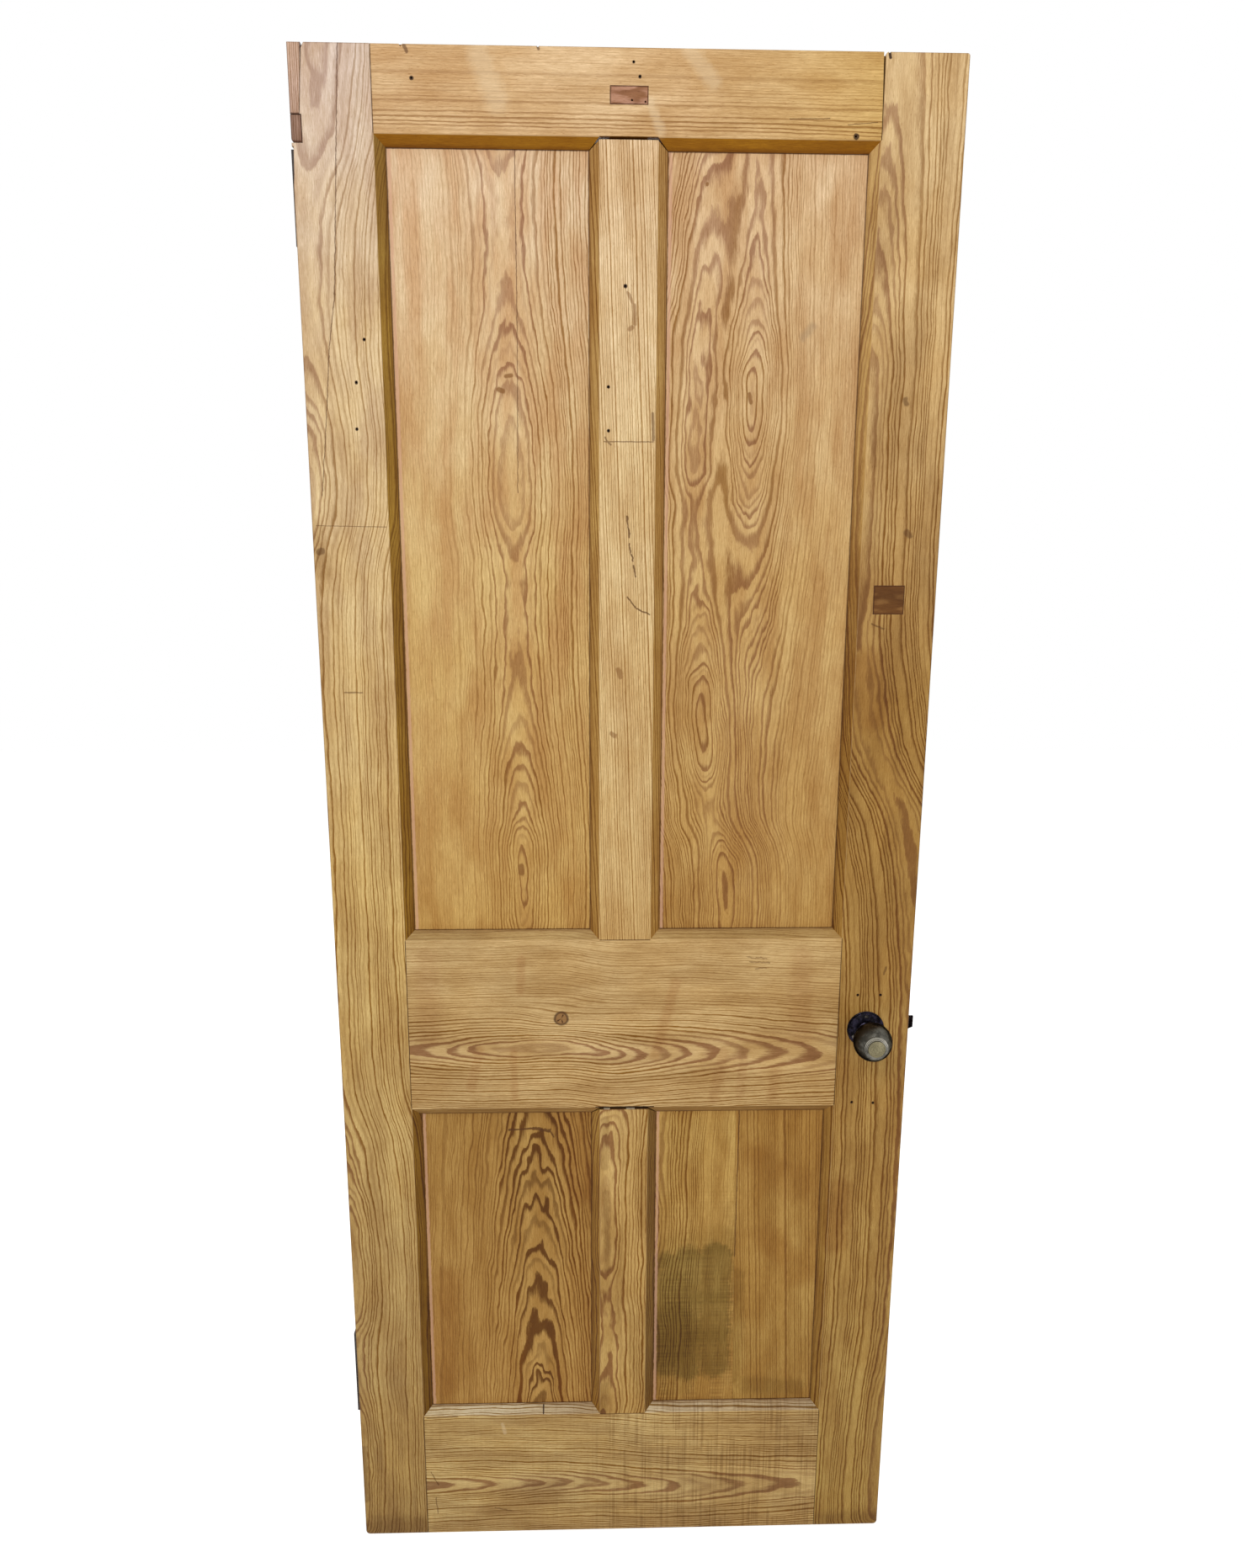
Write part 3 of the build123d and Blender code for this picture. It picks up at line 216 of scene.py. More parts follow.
# A stroke from one place to another on a board's face: a nail hole, crack, scratch or smudge
def makeStroke():
    tree, g = startGroup("stroke", {
        "X": 0, "Z": 0, "From X": 0, "From Z": 0, "To X": 0, "To Z": 0,
        "Half Width": 1, "Softness": 0.5, "Wander": 0, "Ragged": 0,
    }, ["Mask"])
    x, z = g["X"] + g["Wander"], g["Z"] + g["Wander"] * 0.6
    runX, runZ = g["To X"] - g["From X"], g["To Z"] - g["From Z"]
    length = (runX * runX + runZ * runZ).highest(0.0001)
    share = (((x - g["From X"]) * runX + (z - g["From Z"]) * runZ) / length).highest(0).lowest(1)
    offX = x - g["From X"] - share * runX
    offZ = z - g["From Z"] - share * runZ
    distance = (offX * offX + offZ * offZ) ** 0.5 + g["Ragged"]
    return endGroup(tree, {"Mask": distance.step(g["Half Width"], g["Half Width"] + g["Softness"], 1, 0)})


# Round a panel where it enters the frame: a dark line of painted shade in the gap, pale old filler, and a
# rim of painted shade
def makePanelRim():
    tree, g = startGroup("panelRim", {
        "X": 0, "Z": 0, "Left": 0, "Right": 1, "Bottom": 0, "Top": 1, "Ragged": 0,
    }, ["Line", "Filler", "Rim Shade"])
    left, right = g["X"] - g["Left"], g["Right"] - g["X"]
    near = left.lowest(right).lowest(g["Z"] - g["Bottom"]).lowest(g["Top"] - g["Z"])
    leftNear = left + g["Ragged"] * 2.4
    return endGroup(tree, {
        "Line": (near + g["Ragged"] * 0.9).step(0.5, 1.6, 1, 0),
        "Filler": leftNear.step(1.2, 2.0) * leftNear.step(4.2, 6.2, 1, 0),
        "Rim Shade": near.step(0, 16, 1, 0),
    })


# Where old metal is worn bright, where it is specked with rust, and its fine scratches
def makeMetalWear():
    inputs = {"X": 0, "Y": 0, "Z": 0, "Patch": 9, "Seed": 0}
    tree, g = startGroup("metalWear", inputs, ["Worn", "Speck", "Scratch"])
    x, y, z, patch = g["X"], g["Y"], g["Z"], g["Patch"]
    worn = noise(tree, (x / patch + g["Seed"], y / patch, z / patch), 4, 0.65)
    speck = noise(tree, (x * 0.8, y * 0.8 + g["Seed"], z * 0.8), 3, 0.7)
    scratch = noise(tree, (x * 3, y * 3, z * 0.3 + g["Seed"]), 2, 0.6)
    return endGroup(tree, {
        "Worn": worn.step(0.42, 0.64), "Speck": speck.step(0.6, 0.68), "Scratch": scratch.step(0.35, 0.65),
    })


pineRings, stroke, panelRim = makePineRings(), makeStroke(), makePanelRim()
metalWear = makeMetalWear()


def curveField(tree, share, points, low, high):  # a curve through listed points: share of the length to a value
    node = tree.nodes.new("ShaderNodeFloatCurve")
    curve = node.mapping.curves[0]
    spots = [(place, (value - low) / (high - low)) for place, value in points]
    while len(curve.points) < len(spots):
        curve.points.new(0.5, 0.5)
    for point, spot in zip(curve.points, spots):
        point.location = spot
    node.mapping.update()
    plug(tree, share, node.inputs["Value"])
    return Field(tree, node.outputs[0]) * (high - low) + low


def along(tree, value, points):  # the same from places in millimetres
    first, last = points[0][0], points[-1][0]
    values = [v for _, v in points]
    if max(values) - min(values) < 0.01:
        return values[0]
    share = (value - first) / (last - first)
    spots = [((place - first) / (last - first), height) for place, height in points]
    return curveField(tree, share, spots, min(values), max(values))


def colourAlong(tree, value, points):  # colours at places in millimetres, blended between them
    first, last = points[0][0], points[-1][0]
    if len(points) == 1:
        return linear(points[0][1])
    node = tree.nodes.new("ShaderNodeValToRGB")
    plug(tree, (value - first) / (last - first), node.inputs["Fac"])
    stops = node.color_ramp.elements
    while len(stops) < len(points):
        stops.new(0.5)
    for stop, (place, colour) in zip(stops, points):
        stop.position = (place - first) / (last - first)
        stop.color = linear(colour)
    return node.outputs["Color"]


stainAndShadeTints = {
    "all": (1.1, 1.14, 1.22), "blotch": (0.84, 0.74, 0.58), "fibre": (0.58, 0.45, 0.26),
    "shine": (1.35, 1.32, 1.25), "fleck": (0.56, 0.42, 0.28), "sawn": (0.66, 0.6, 0.55),
    "bevelFootShade": (0.42, 0.27, 0.14), "edge": (0.46, 0.4, 0.36), "rim": (0.7, 0.55, 0.38),
}
paintColours = {
    "arris": (226, 192, 138), "knot": (136, 96, 54), "knotCrack": (66, 38, 20),
    "filler": (206, 160, 132), "rimGapShade": (70, 36, 16), "joint": (70, 42, 20),
}
# The near-black nail colour also paints shade into the gap over the lower muntin
markColours = {
    "nailHoleAndGapShade": (44, 22, 12), "dark": (84, 50, 22), "brown": (128, 84, 40), "pale": (226, 204, 168),
    "grey": (142, 122, 96),
}


def startMaterial(name):  # with the places on the piece in millimetres
    material = bpy.data.materials.new(name)
    material.use_nodes = True
    tree = material.node_tree
    tree.nodes.clear()
    output = tree.nodes.new("ShaderNodeOutputMaterial")
    shader = tree.nodes.new("ShaderNodeBsdfPrincipled")
    tree.links.new(shader.outputs[0], output.inputs["Surface"])
    split = tree.nodes.new("ShaderNodeSeparateXYZ")
    tree.links.new(tree.nodes.new("ShaderNodeTexCoord").outputs["Object"], split.inputs[0])
    return (material, tree, shader, *(Field(tree, split.outputs[i]) * 1000 for i in range(3)))


def wear(nodeName, material):
    nodes[nodeName].data.materials.clear()
    nodes[nodeName].data.materials.append(material)


def pineBoard(name, board):
    material, tree, shader, x, y, z = startMaterial(name)
    upright = board["upright"]
    across, length = (x, z) if upright else (z, x)
    depth = y - board["face"]
    rag = noise(tree, (x / 7, z / 9, y / 9), 2, 0.65) - 0.5
    shownSide = y.below(0)

    def strokesMask(strokes):
        mask = None
        for x0, z0, x1, z1, half, soft, wander in strokes:
            one = useGroup(tree, stroke, {
                "X": x, "Z": z, "From X": x0, "From Z": z0, "To X": x1, "To Z": z1,
                "Half Width": half, "Softness": soft, "Wander": rag * wander, "Ragged": rag * half,
            })["Mask"]
            mask = one if mask is None else mask.highest(one)
        return mask * shownSide

    knot = board.get("knot", (0, -farAway, 1))
    values = {
        "Across": across, "Along": length, "Depth": depth,
        "Pith Across": along(tree, length, board["pithAcross"]),
        "Pith Depth": along(tree, length, board["pithDepth"]),
        "Ring Width": board["ringWidth"], "Bend": board.get("bend", 3.0),
        "Wave": along(tree, across, board.get("wave", ((0, 1.0), (1, 1.0)))),
        "Ripple": board.get("ripple", 0.8), "Ripple Size": board.get("rippleSize", 9.0),
        "Seed": board["seed"], "Knot Across": knot[0], "Knot Along": knot[1], "Knot Size": knot[2],
    }
    if "second" in board:
        values["Second Across"], points = board["second"]
        values["Second Depth"] = along(tree, length, points)
    rings = useGroup(tree, pineRings, values)
    # Colour of the early wood, and how far the late wood darkens it
    contrast = board.get("contrast", 1.0)
    if "plain" in board:  # where the figure fades out, as places across the board
        contrast = along(tree, across, board["plain"]) * contrast
    if "fade" in board:  # and along it
        contrast = along(tree, length, board["fade"]) * contrast
    # The early wood's colours along the board are partly its own tone and partly painted light: lighter and
    # paler toward the top, nearer the key lamp, with a painted sheen at the top of the hinge stile and the
    # upper panels
    pale = colourAlong(tree, length, board["pale"])
    tone = rings["Tone"].step(0.32, 0.68)
    pale = mixColour(tree, tone * board.get("mottle", 0.6), pale, colourAlong(tree, length, board["deep"]))
    blotch = rings["Blotch"].step(0.36, 0.64)
    pale = multiplyTint(tree, blotch * board.get("blotch", 0.5), pale, stainAndShadeTints["blotch"])
    fibre = rings["Fibre"].step(0.3, 0.7)
    pale = multiplyTint(tree, fibre * 0.52, pale, stainAndShadeTints["fibre"])
    pale = multiplyTint(tree, fibre.step(0.25, 0.0, 0, 0.22), pale, stainAndShadeTints["shine"])
    pale = multiplyTint(tree, 1.0, pale, stainAndShadeTints["all"])
    tint = mixColour(tree, rings["Flat"].step(0.45, 0.97), board["lineTint"], board["ridgeTint"])
    amount = (rings["Late"] * contrast).lowest(1)
    colour = mixColour(tree, amount, pale, mixColour(tree, 1.0, pale, tint, "MULTIPLY"))
    colour = multiplyTint(tree, rings["Fleck"] * board.get("flecks", 0.5), colour, stainAndShadeTints["fleck"])
    if "sawn" in board:  # marks of the saw, square to the grain, as places along the board
        teeth = lineNoise(tree, length / 4.2, 2).step(0.42, 0.58)
        teeth = teeth * noise(tree, (x / 16, z / 70, 0), 3).step(0.38, 0.62)
        depthOf = along(tree, length, board["sawn"])
        colour = multiplyTint(tree, teeth * depthOf, colour, stainAndShadeTints["sawn"])
    for tint, strength, strokes in board.get("stains", ()):
        colour = multiplyTint(tree, strokesMask(strokes) * strength, colour, tint)
    # Worked bevel, below the face. Its tint is partly the bevel's own golden-brown and partly painted light
    # and shade: each side's bevel has its own tint, lighter where it faces up toward the lamps and darker
    # where it faces down or away from them.
    if "panel" not in board:
        low = faceOut - abs(y)
        lower, upper = board.get("bevels", ((0.62, 0.5, 0.3), (0.62, 0.5, 0.3)))
        side = (across - board.get("middle", 0)).above(0)
        bevelToneAndShade = mixColour(tree, side, (*lower, 1), (*upper, 1))
        worked = low.step(0.3, 0.9) * board.get("worked", 1)
        colour = mixColour(tree, worked, colour, bevelToneAndShade, "MULTIPLY")
        # painted shade, darker toward the foot of the bevel where it meets the panel
        colour = multiplyTint(tree, low.step(6.5, 9.8) * worked * 0.5, colour, stainAndShadeTints["bevelFootShade"])
        # a pale line along the arris where the bevel leaves the face: worn wood and a painted highlight
        arris = low.step(0.0, 0.35) * low.step(0.5, 1.1, 1, 0) * fibre
        colour = paint(tree, arris * 0.4, colour, paintColours["arris"])
    # Knot
    if "knot" in board:
        colour = paint(tree, rings["Knot"] * 0.85, colour, paintColours["knot"])
        crack = (rings["Knot Rim"] * 0.8).highest(rings["Knot Crack"])
        colour = paint(tree, crack, colour, paintColours["knotCrack"])
    # The leaf's own edges and ends are darker and greyer than its faces
    ends = (z - topUp).step(-0.4, 0.7).highest(z.step(0.2, 1.2, 1, 0))
    edge = (abs(x) - edgeOut).step(-0.7, 0.5).highest(ends)
    colour = multiplyTint(tree, edge * 0.5, colour, stainAndShadeTints["edge"])
    # Joints and marks
    if "panel" in board:
        left, right, bottom, top = board["panel"]
        rim = useGroup(tree, panelRim, {
            "X": x, "Z": z, "Left": left, "Right": right, "Bottom": bottom, "Top": top, "Ragged": rag,
        })
        # painted shade, darker within 16 mm of the frame
        colour = multiplyTint(tree, rim["Rim Shade"] * 0.25, colour, stainAndShadeTints["rim"])
        filler = rim["Filler"] * board.get("filler", 0.6) * shownSide
        colour = paint(tree, filler, colour, paintColours["filler"])
        # painted shade: a dark line in the gap where the panel enters the frame
        colour = paint(tree, rim["Line"] * 0.8, colour, paintColours["rimGapShade"])
    else:
        for place in board.get("joints", ()):
            mark = abs(length - place) + rag * 0.5
            colour = paint(tree, mark.step(0.6, 1.5, 0.85, 0), colour, paintColours["joint"])
    for kind, strength, strokes in board.get("marks", ()):
        colour = paint(tree, strokesMask(strokes) * strength, colour, markColours[kind])
    tree.links.new(colour, shader.inputs["Base Color"])
    rough = 0.5 - rings["Late"] * 0.1 + (fibre - 0.5) * 0.12
    plug(tree, rough, shader.inputs["Roughness"])
    shader.inputs["Specular IOR Level"].default_value = 0.12
    bump = tree.nodes.new("ShaderNodeBump")
    bump.inputs["Strength"].default_value = 0.35
    bump.inputs["Distance"].default_value = 0.0004
    plug(tree, rings["Fibre"] * 1.2, bump.inputs["Height"])
    tree.links.new(bump.outputs[0], shader.inputs["Normal"])
    return material


lineTint = (0.4, 0.26, 0.08, 1)  # late wood cut square to the rings
ridgeTint = (0.5, 0.37, 0.34, 1)  # and cut flat, along them
# Lists of pairs go along the board or across it, with a place and the value there. A stroke is from x
# and z, to x and z, half its width, how soft its edge is and how far it wanders. A stain is a tint, its
# strength and its strokes, and a mark is a colour's name, its strength and its strokes.
boards = {
    "upper_left_panel": {
        "upright": True, "face": -8, "seed": 3.1, "ringWidth": 3.3, "bend": 3, "ripple": 1.8,
        "contrast": 0.92, "wave": ((-290, 2.2), (-150, 3.6), (-120, 1.6), (-40, 0.8)),
        "panel": (-278, -47, 942, 1879),
        "pithAcross": [(930, -134), (1023, -134), (1300, -138), (1600, -142), (1890, -150)],
        "pithDepth": [(930, 24), (1023, 8), (1100, 20), (1400, 42), (1500, 34), (1800, 54), (1890, 47)],
        "plain": [(-290, 0.3), (-215, 0.35), (-180, 0.85), (-120, 1), (-40, 0.8)],
        "pale": [(930, (202, 163, 94)), (1400, (214, 181, 120)), (1890, (226, 200, 166))],
        "deep": [(930, (168, 120, 56)), (1890, (196, 146, 98))],
        "marks": (
            ("dark", 0.7, ((-132, 1880, -132, 1690, 0.3, 0.5, 2),
                           (-132, 1690, -134, 1500, 0.25, 0.5, 2))),
            ("brown", 0.8, ((-155, 1619, -150, 1617, 1.8, 2, 0), (-146, 1634, -140, 1635, 1.4, 2, 0),
                            (-137, 1028, -137, 1020, 2.5, 3, 0))),
        ),
        "stains": (((0.8, 0.66, 0.52), 0.35,
                    ((-120, 1290, -112, 1200, 10, 26, 9), (-75, 1500, -70, 1330, 6, 28, 9))),),
    },
    "upper_right_panel": {
        "upright": True, "face": -8, "seed": 11.7, "ringWidth": 3.2, "bend": 4, "ripple": 2.2,
        "rippleSize": 11, "contrast": 0.88,
        "wave": ((40, 7.0), (110, 6.0), (170, 2.4), (210, 0.8), (280, 0.6)),
        "panel": (43, 274, 942, 1879),
        "pithAcross": [(930, 130), (1003, 130), (1100, 106), (1208, 95), (1350, 90), (1500, 82),
                       (1650, 84), (1800, 98), (1890, 100)],
        "pithDepth": [(930, 20), (1003, 9), (1100, 24), (1208, 7), (1300, 20), (1480, 32), (1540, 27),
                      (1890, 50)],
        "second": (148, [(930, 96), (1250, 64), (1450, 34), (1550, 16), (1611, 6), (1665, 15), (1740, 27),
                         (1890, 33)]),
        "plain": [(40, 1), (170, 1), (205, 0.6), (280, 0.4)],
        "pale": [(930, (190, 150, 84)), (1400, (208, 173, 114)), (1890, (224, 194, 154))],
        "deep": [(930, (158, 112, 50)), (1890, (182, 134, 84))],
        "marks": (
            ("brown", 0.8, ((88.7, 1845.8, 88.7, 1845, 1.2, 1.2, 0), (146, 1606, 144, 1616, 1.2, 2, 4))),
            ("grey", 0.35, ((206, 1680, 216, 1692, 1, 7, 8),)),
        ),
    },
    "lower_left_panel": {
        "upright": True, "face": -8, "seed": 5.3, "ringWidth": 3.8, "bend": 2, "ripple": 4.2,
        "rippleSize": 16, "contrast": 1.4, "blotch": 0.3,
        "wave": ((-290, 1.2), (-40, 1.2)), "panel": (-278, -46, 213, 678),
        "pithAcross": [(200, -121), (690, -121)],
        "pithDepth": [(200, 28), (690, 79)],
        "plain": [(-290, 0.35), (-215, 0.45), (-160, 0.8), (-145, 1), (-95, 1), (-46, 0.75)],
        "pale": [(200, (186, 145, 80)), (690, (178, 139, 75))],
        "deep": [(200, (150, 104, 42)), (690, (142, 98, 38))],
        "lineTint": (0.38, 0.23, 0.06, 1), "ridgeTint": (0.3, 0.2, 0.1, 1),
        "marks": (
            ("dark", 0.85, ((-160, 651, -128, 653, 0.9, 0.8, 6), (-126, 653, -104, 649, 1.6, 1.2, 8),
                            (-104, 650, -98, 640, 0.8, 0.8, 4))),
        ),
        "stains": (((0.74, 0.6, 0.44), 0.6,
                    ((-80, 660, -60, 560, 12, 20, 8), (-262, 240, -250, 420, 8, 22, 8))),),
    },
    "lower_right_inner_board": {
        "upright": True, "face": -8, "seed": 8.8, "ringWidth": 3.2, "bend": 4, "ripple": 1.4,
        "wave": ((40, 4), (100, 3), (170, 1)), "panel": (42, 274, 213, 678), "contrast": 1.05,
        "pithAcross": [(200, 22), (690, 36)],
        "pithDepth": [(200, 34), (300, 27), (400, 34), (500, 26), (600, 34), (690, 26)],
        "plain": [(40, 1), (90, 1), (120, 0.5), (170, 0.35)],
        "pale": [(200, (190, 152, 84)), (690, (198, 162, 92))],
        "deep": [(200, (152, 108, 42)), (690, (150, 106, 40))],
        "stains": (
            ((0.5, 0.51, 0.4), 0.85,
             ((60, 276, 60, 436, 14, 16, 5), (92, 270, 92, 444, 16, 14, 5),
              (130, 274, 130, 448, 17, 14, 4))),
            ((0.8, 0.78, 0.66), 0.7,
             ((66, 300, 70, 400, 16, 20, 8), (84, 320, 150, 322, 5, 14, 9),
              (60, 380, 140, 384, 4, 12, 9))),
            ((0.74, 0.72, 0.6), 0.6, ((70, 250, 72, 340, 26, 18, 9), (60, 460, 140, 476, 10, 24, 9))),
        ),
        "sawn": [(200, 0.6), (420, 0.5), (500, 0.2), (690, 0.1)],
    },
    "lower_right_outer_board": {
        "upright": True, "face": -8, "seed": 1.9, "ringWidth": 3.6, "bend": 3, "ripple": 0.7,
        "panel": (42, 274, 213, 678), "contrast": 0.75, "blotch": 0.7,
        "pithAcross": [(200, 420), (690, 400)],
        "pithDepth": [(200, 90), (690, 90)],
        "pale": [(200, (184, 148, 80)), (690, (180, 140, 74))],
        "deep": [(200, (148, 106, 44)), (690, (146, 102, 38))],
        "stains": (
            ((0.66, 0.62, 0.5), 0.7, ((160, 250, 160, 420, 5, 12, 6), (180, 236, 250, 232, 6, 16, 9))),
            ((0.72, 0.58, 0.4), 0.5, ((190, 600, 240, 560, 10, 30, 9), (200, 480, 250, 420, 8, 26, 9))),
        ),
        "marks": (("dark", 0.8, ((157.5, 678, 156.6, 450, 0.4, 0.7, 2),)),),
    },
    "lock_rail": {
        "upright": False, "face": -19, "seed": 2.4, "ringWidth": 3.4, "bend": 2, "ripple": 1.3,
        "rippleSize": 11, "wave": ((690, 2.8), (930, 2.0)), "contrast": 1.3,
        "pithAcross": [(-381, 782), (-200, 776), (-100, 778), (0, 768), (100, 770), (381, 762)],
        "pithDepth": [(-381, 34), (-250, 24), (-120, 17), (-60, 19), (60, 30), (180, 41), (286, 50),
                      (381, 58)],
        "plain": [(690, 0.8), (740, 1), (800, 1), (835, 0.6), (930, 0.4)],
        "knot": (820, -86, 9), "joints": (-290, 286), "middle": 810,
        "bevels": ((0.6, 0.5, 0.34), (0.74, 0.72, 0.62)),
        "pale": [(-290, (206, 174, 120)), (0, (212, 180, 126)), (286, (202, 168, 112))],
        "deep": [(-290, (168, 132, 80)), (286, (164, 126, 72))],
        "stains": (
            ((0.78, 0.62, 0.52), 0.42, ((66, 870, 40, 765, 3, 8, 9), (-138, 905, -140, 860, 2, 7, 8),
                                        (-196, 775, -208, 722, 3, 7, 8),
                                        (-150, 772, -150, 705, 2, 6, 8))),
            ((0.78, 0.66, 0.6), 0.42, ((132, 770, 120, 700, 4, 7, 9), (160, 772, 156, 706, 3, 6, 9),
                                       (204, 740, 200, 704, 3, 8, 9), (232, 905, 236, 790, 6, 16, 9),
                                       (-262, 905, -262, 800, 6, 18, 9))),
        ),
        "marks": (
            ("dark", 0.5, ((160, 906, 186, 903, 0.3, 1.2, 9), (164, 899, 190, 897, 0.4, 1.2, 9),
                           (172, 889, 186, 890, 0.3, 1, 9))),
            # a dark line along the rail's lower edge over the lower muntin: painted shade in the gap
            ("nailHoleAndGapShade", 0.9, ((-40, 690, 38, 690, 0.7, 0.7, 1),)),
        ),
    },
    "top_rail": {
        "upright": False, "face": -19, "seed": 6.6, "ringWidth": 3.4, "bend": 2, "ripple": 0.6,
        "wave": ((1879, 0.8), (1981, 1.6)),
        "pithAcross": [(-381, 1846), (381, 1842)],
        "pithDepth": [(-381, 62), (0, 60), (381, 66)], "middle": 1850,
        "plain": [(1879, 0.9), (1912, 0.7), (1940, 0.35), (1981, 0.22)], "joints": (-290, 286),
        "bevels": ((0.53, 0.34, 0.03), (0.53, 0.34, 0.03)),
        "pale": [(-290, (212, 178, 132)), (60, (220, 187, 142)), (286, (208, 171, 106))],
        "deep": [(-290, (184, 140, 90)), (286, (178, 136, 74))],
        "marks": (
            ("pale", 0.3, ((66, 1979, 92, 1948, 3, 11, 8), (22, 1926, 34, 1896, 1, 8, 8),
                           (-170, 1972, -150, 1925, 4, 16, 9))),
            ("nailHoleAndGapShade", 0.9, ((2.8, 1966.7, 2.8, 1966.5, 1.3, 0.8, 0), (10, 1952, 10, 1951.5, 1.3, 0.8, 0),
                           (-244.8, 1947, -244.6, 1946.8, 1.8, 1, 0),
                           (255.9, 1894.2, 256.2, 1894, 2.6, 1.4, 0))),
            ("dark", 0.7, ((-252, 1979, -249, 1973, 1.0, 1.6, 2), (-104, 1981, -103, 1978, 1.0, 1.2, 2),
                           (180, 1911, 225, 1912, 0.3, 0.5, 3), (246, 1906, 280, 1909, 0.3, 0.5, 3))),
        ),
    },
    "bottom_rail": {
        "upright": False, "face": -19, "seed": 4.2, "ringWidth": 3.3, "bend": 2, "ripple": 1.3,
        "rippleSize": 11, "contrast": 1.15,
        "wave": ((0, 2.8), (213, 2.8)), "pithAcross": [(-381, 78), (-100, 84), (100, 74), (381, 78)],
        "middle": 100, "pithDepth": [(-381, 12), (-250, 17), (-130, 24), (0, 31), (120, 38), (381, 52)],
        "joints": (-290, 286), "bevels": ((0.98, 1.12, 1.7), (0.98, 1.12, 1.7)),
        "pale": [(-290, (212, 184, 124)), (286, (202, 171, 112))],
        "deep": [(-290, (160, 126, 76)), (286, (152, 118, 70))],
        "sawn": [(-290, 0.15), (-60, 0.2), (0, 0.75), (286, 0.75)],
        "stains": (((0.76, 0.7, 0.68), 0.6,
                    ((-180, 40, -110, 74, 14, 26, 12), (-270, 12, 260, 8, 8, 16, 9))),),
        "marks": (
            ("nailHoleAndGapShade", 0.9, ((-116.6, 211, -116.6, 203, 0.7, 0.8, 0),)),
            ("dark", 0.6, ((-282, 107, -272, 84, 0.4, 0.8, 4), (-276, 62, -274, 34, 0.4, 0.8, 4),
                           (-190, 42, -166, 36, 0.5, 0.8, 4), (-285, 199, -240, 201, 0.5, 0.8, 3))),
            ("pale", 0.3, ((-176, 187, -173, 172, 0.8, 3, 4),)),
        ),
    },
    "upper_muntin": {
        "upright": True, "face": -19, "seed": 9.5, "ringWidth": 2.7, "bend": 2, "ripple": 0.4,
        "contrast": 0.95, "pithAcross": [(930, -260), (1900, -300)], "pithDepth": [(930, 70), (1900, 70)],
        "joints": (930, 1891), "middle": -2, "bevels": ((0.6, 0.48, 0.27), (0.6, 0.48, 0.27)),
        "pale": [(930, (214, 180, 120)), (1500, (234, 208, 158)), (1891, (230, 202, 164))],
        "deep": [(930, (190, 150, 92)), (1891, (196, 158, 108))],
        "marks": (
            ("nailHoleAndGapShade", 0.95, ((-5.3, 1733, -5.3, 1732.8, 1.8, 1, 0),
                            (-24.8, 1621.8, -24.8, 1621.6, 1.5, 0.8, 0),
                            (-24.7, 1572, -24.7, 1571.8, 1.5, 0.8, 0))),
            ("brown", 0.6, ((-3, 1726, 5, 1712, 0.8, 1.6, 4), (5, 1712, 6, 1692, 1.4, 2, 3),
                            (3, 1688, 0, 1686, 1.6, 2, 3),
                            (-12, 1287, -9, 1278, 2.2, 2, 4), (-20, 1206, -16, 1203, 2, 2, 4))),
            ("dark", 0.6, ((-30, 1559.4, 29, 1559.7, 0.4, 0.7, 3), (28, 1592, 29, 1562, 1, 1.4, 3),
                           (-29, 1564, -22, 1556, 0.6, 1, 3))),
            ("dark", 0.8, ((-2, 1473, 1, 1448, 0.6, 0.9, 5), (1, 1440, 6, 1420, 0.7, 0.8, 5),
                           (6, 1414, 9, 1401, 0.6, 0.8, 4), (-1, 1376, 10, 1362, 0.5, 0.8, 3),
                           (10, 1362, 27, 1355, 0.5, 0.8, 3))),
        ),
    },
    "lower_muntin": {
        "upright": True, "face": -19, "seed": 7.4, "ringWidth": 3.6, "bend": 6, "ripple": 1.8,
        "contrast": 1.15, "wave": ((-40, 5), (40, 4)),
        "pithAcross": [(201, -34), (330, -24), (480, -30), (690, -14)],
        "pithDepth": [(201, 24), (400, 34), (470, 27), (690, 42)],
        # The joint line at 687.2, along the muntin's top under the gap, is painted shade in the gap
        "joints": (201, 687.2), "middle": -2, "bevels": ((0.62, 0.52, 0.3), (0.46, 0.4, 0.26)),
        "pale": [(201, (194, 157, 92)), (690, (208, 173, 110))],
        "deep": [(201, (150, 112, 54)), (690, (162, 122, 62))],
        "stains": (((0.7, 0.66, 0.62), 0.7, ((-27, 670, -28, 600, 3, 5, 4), (-26, 560, -24, 440, 2, 5, 5),
                                           (-28, 250, -30, 206, 3, 6, 4))),),
        # Pale residue on the muntin's top under the gap, with painted glints of the light that shows through
        # it
        "marks": (("pale", 0.8,
                   ((-29, 687.6, -22, 687.4, 0.5, 0.6, 2), (2, 687.6, 12, 687.5, 0.5, 0.6, 2))),),
    },
    "hinge_stile": {
        "upright": True, "face": -19, "seed": 12.9, "ringWidth": 3.8, "bend": 4, "ripple": 1.4,
        "wave": ((-381, 4.4), (-290, 3.0)), "contrast": 1.0,
        "pithAcross": [(0, -392), (150, -390), (300, -386), (420, -384), (600, -384), (760, -408),
                       (1360, -408), (1500, -386), (1740, -380), (1900, -354), (1981, -346)],
        "pithDepth": [(0, 30), (150, 22), (300, 34), (420, 22), (600, 36), (760, 40), (1050, 30),
                      (1360, 34), (1500, 33), (1740, 52), (1900, 43), (1981, 40)],
        "fade": [(0, 1), (900, 1), (1300, 0.85), (1700, 0.7), (1981, 0.6)],
        "middle": -900, "bevels": ((0.45, 0.34, 0.1), (0.45, 0.34, 0.1)),
        "pale": [(0, (168, 136, 80)), (120, (190, 158, 96)), (300, (188, 156, 98)),
                 (1000, (218, 186, 120)), (1700, (226, 200, 156)), (1981, (216, 197, 182))],
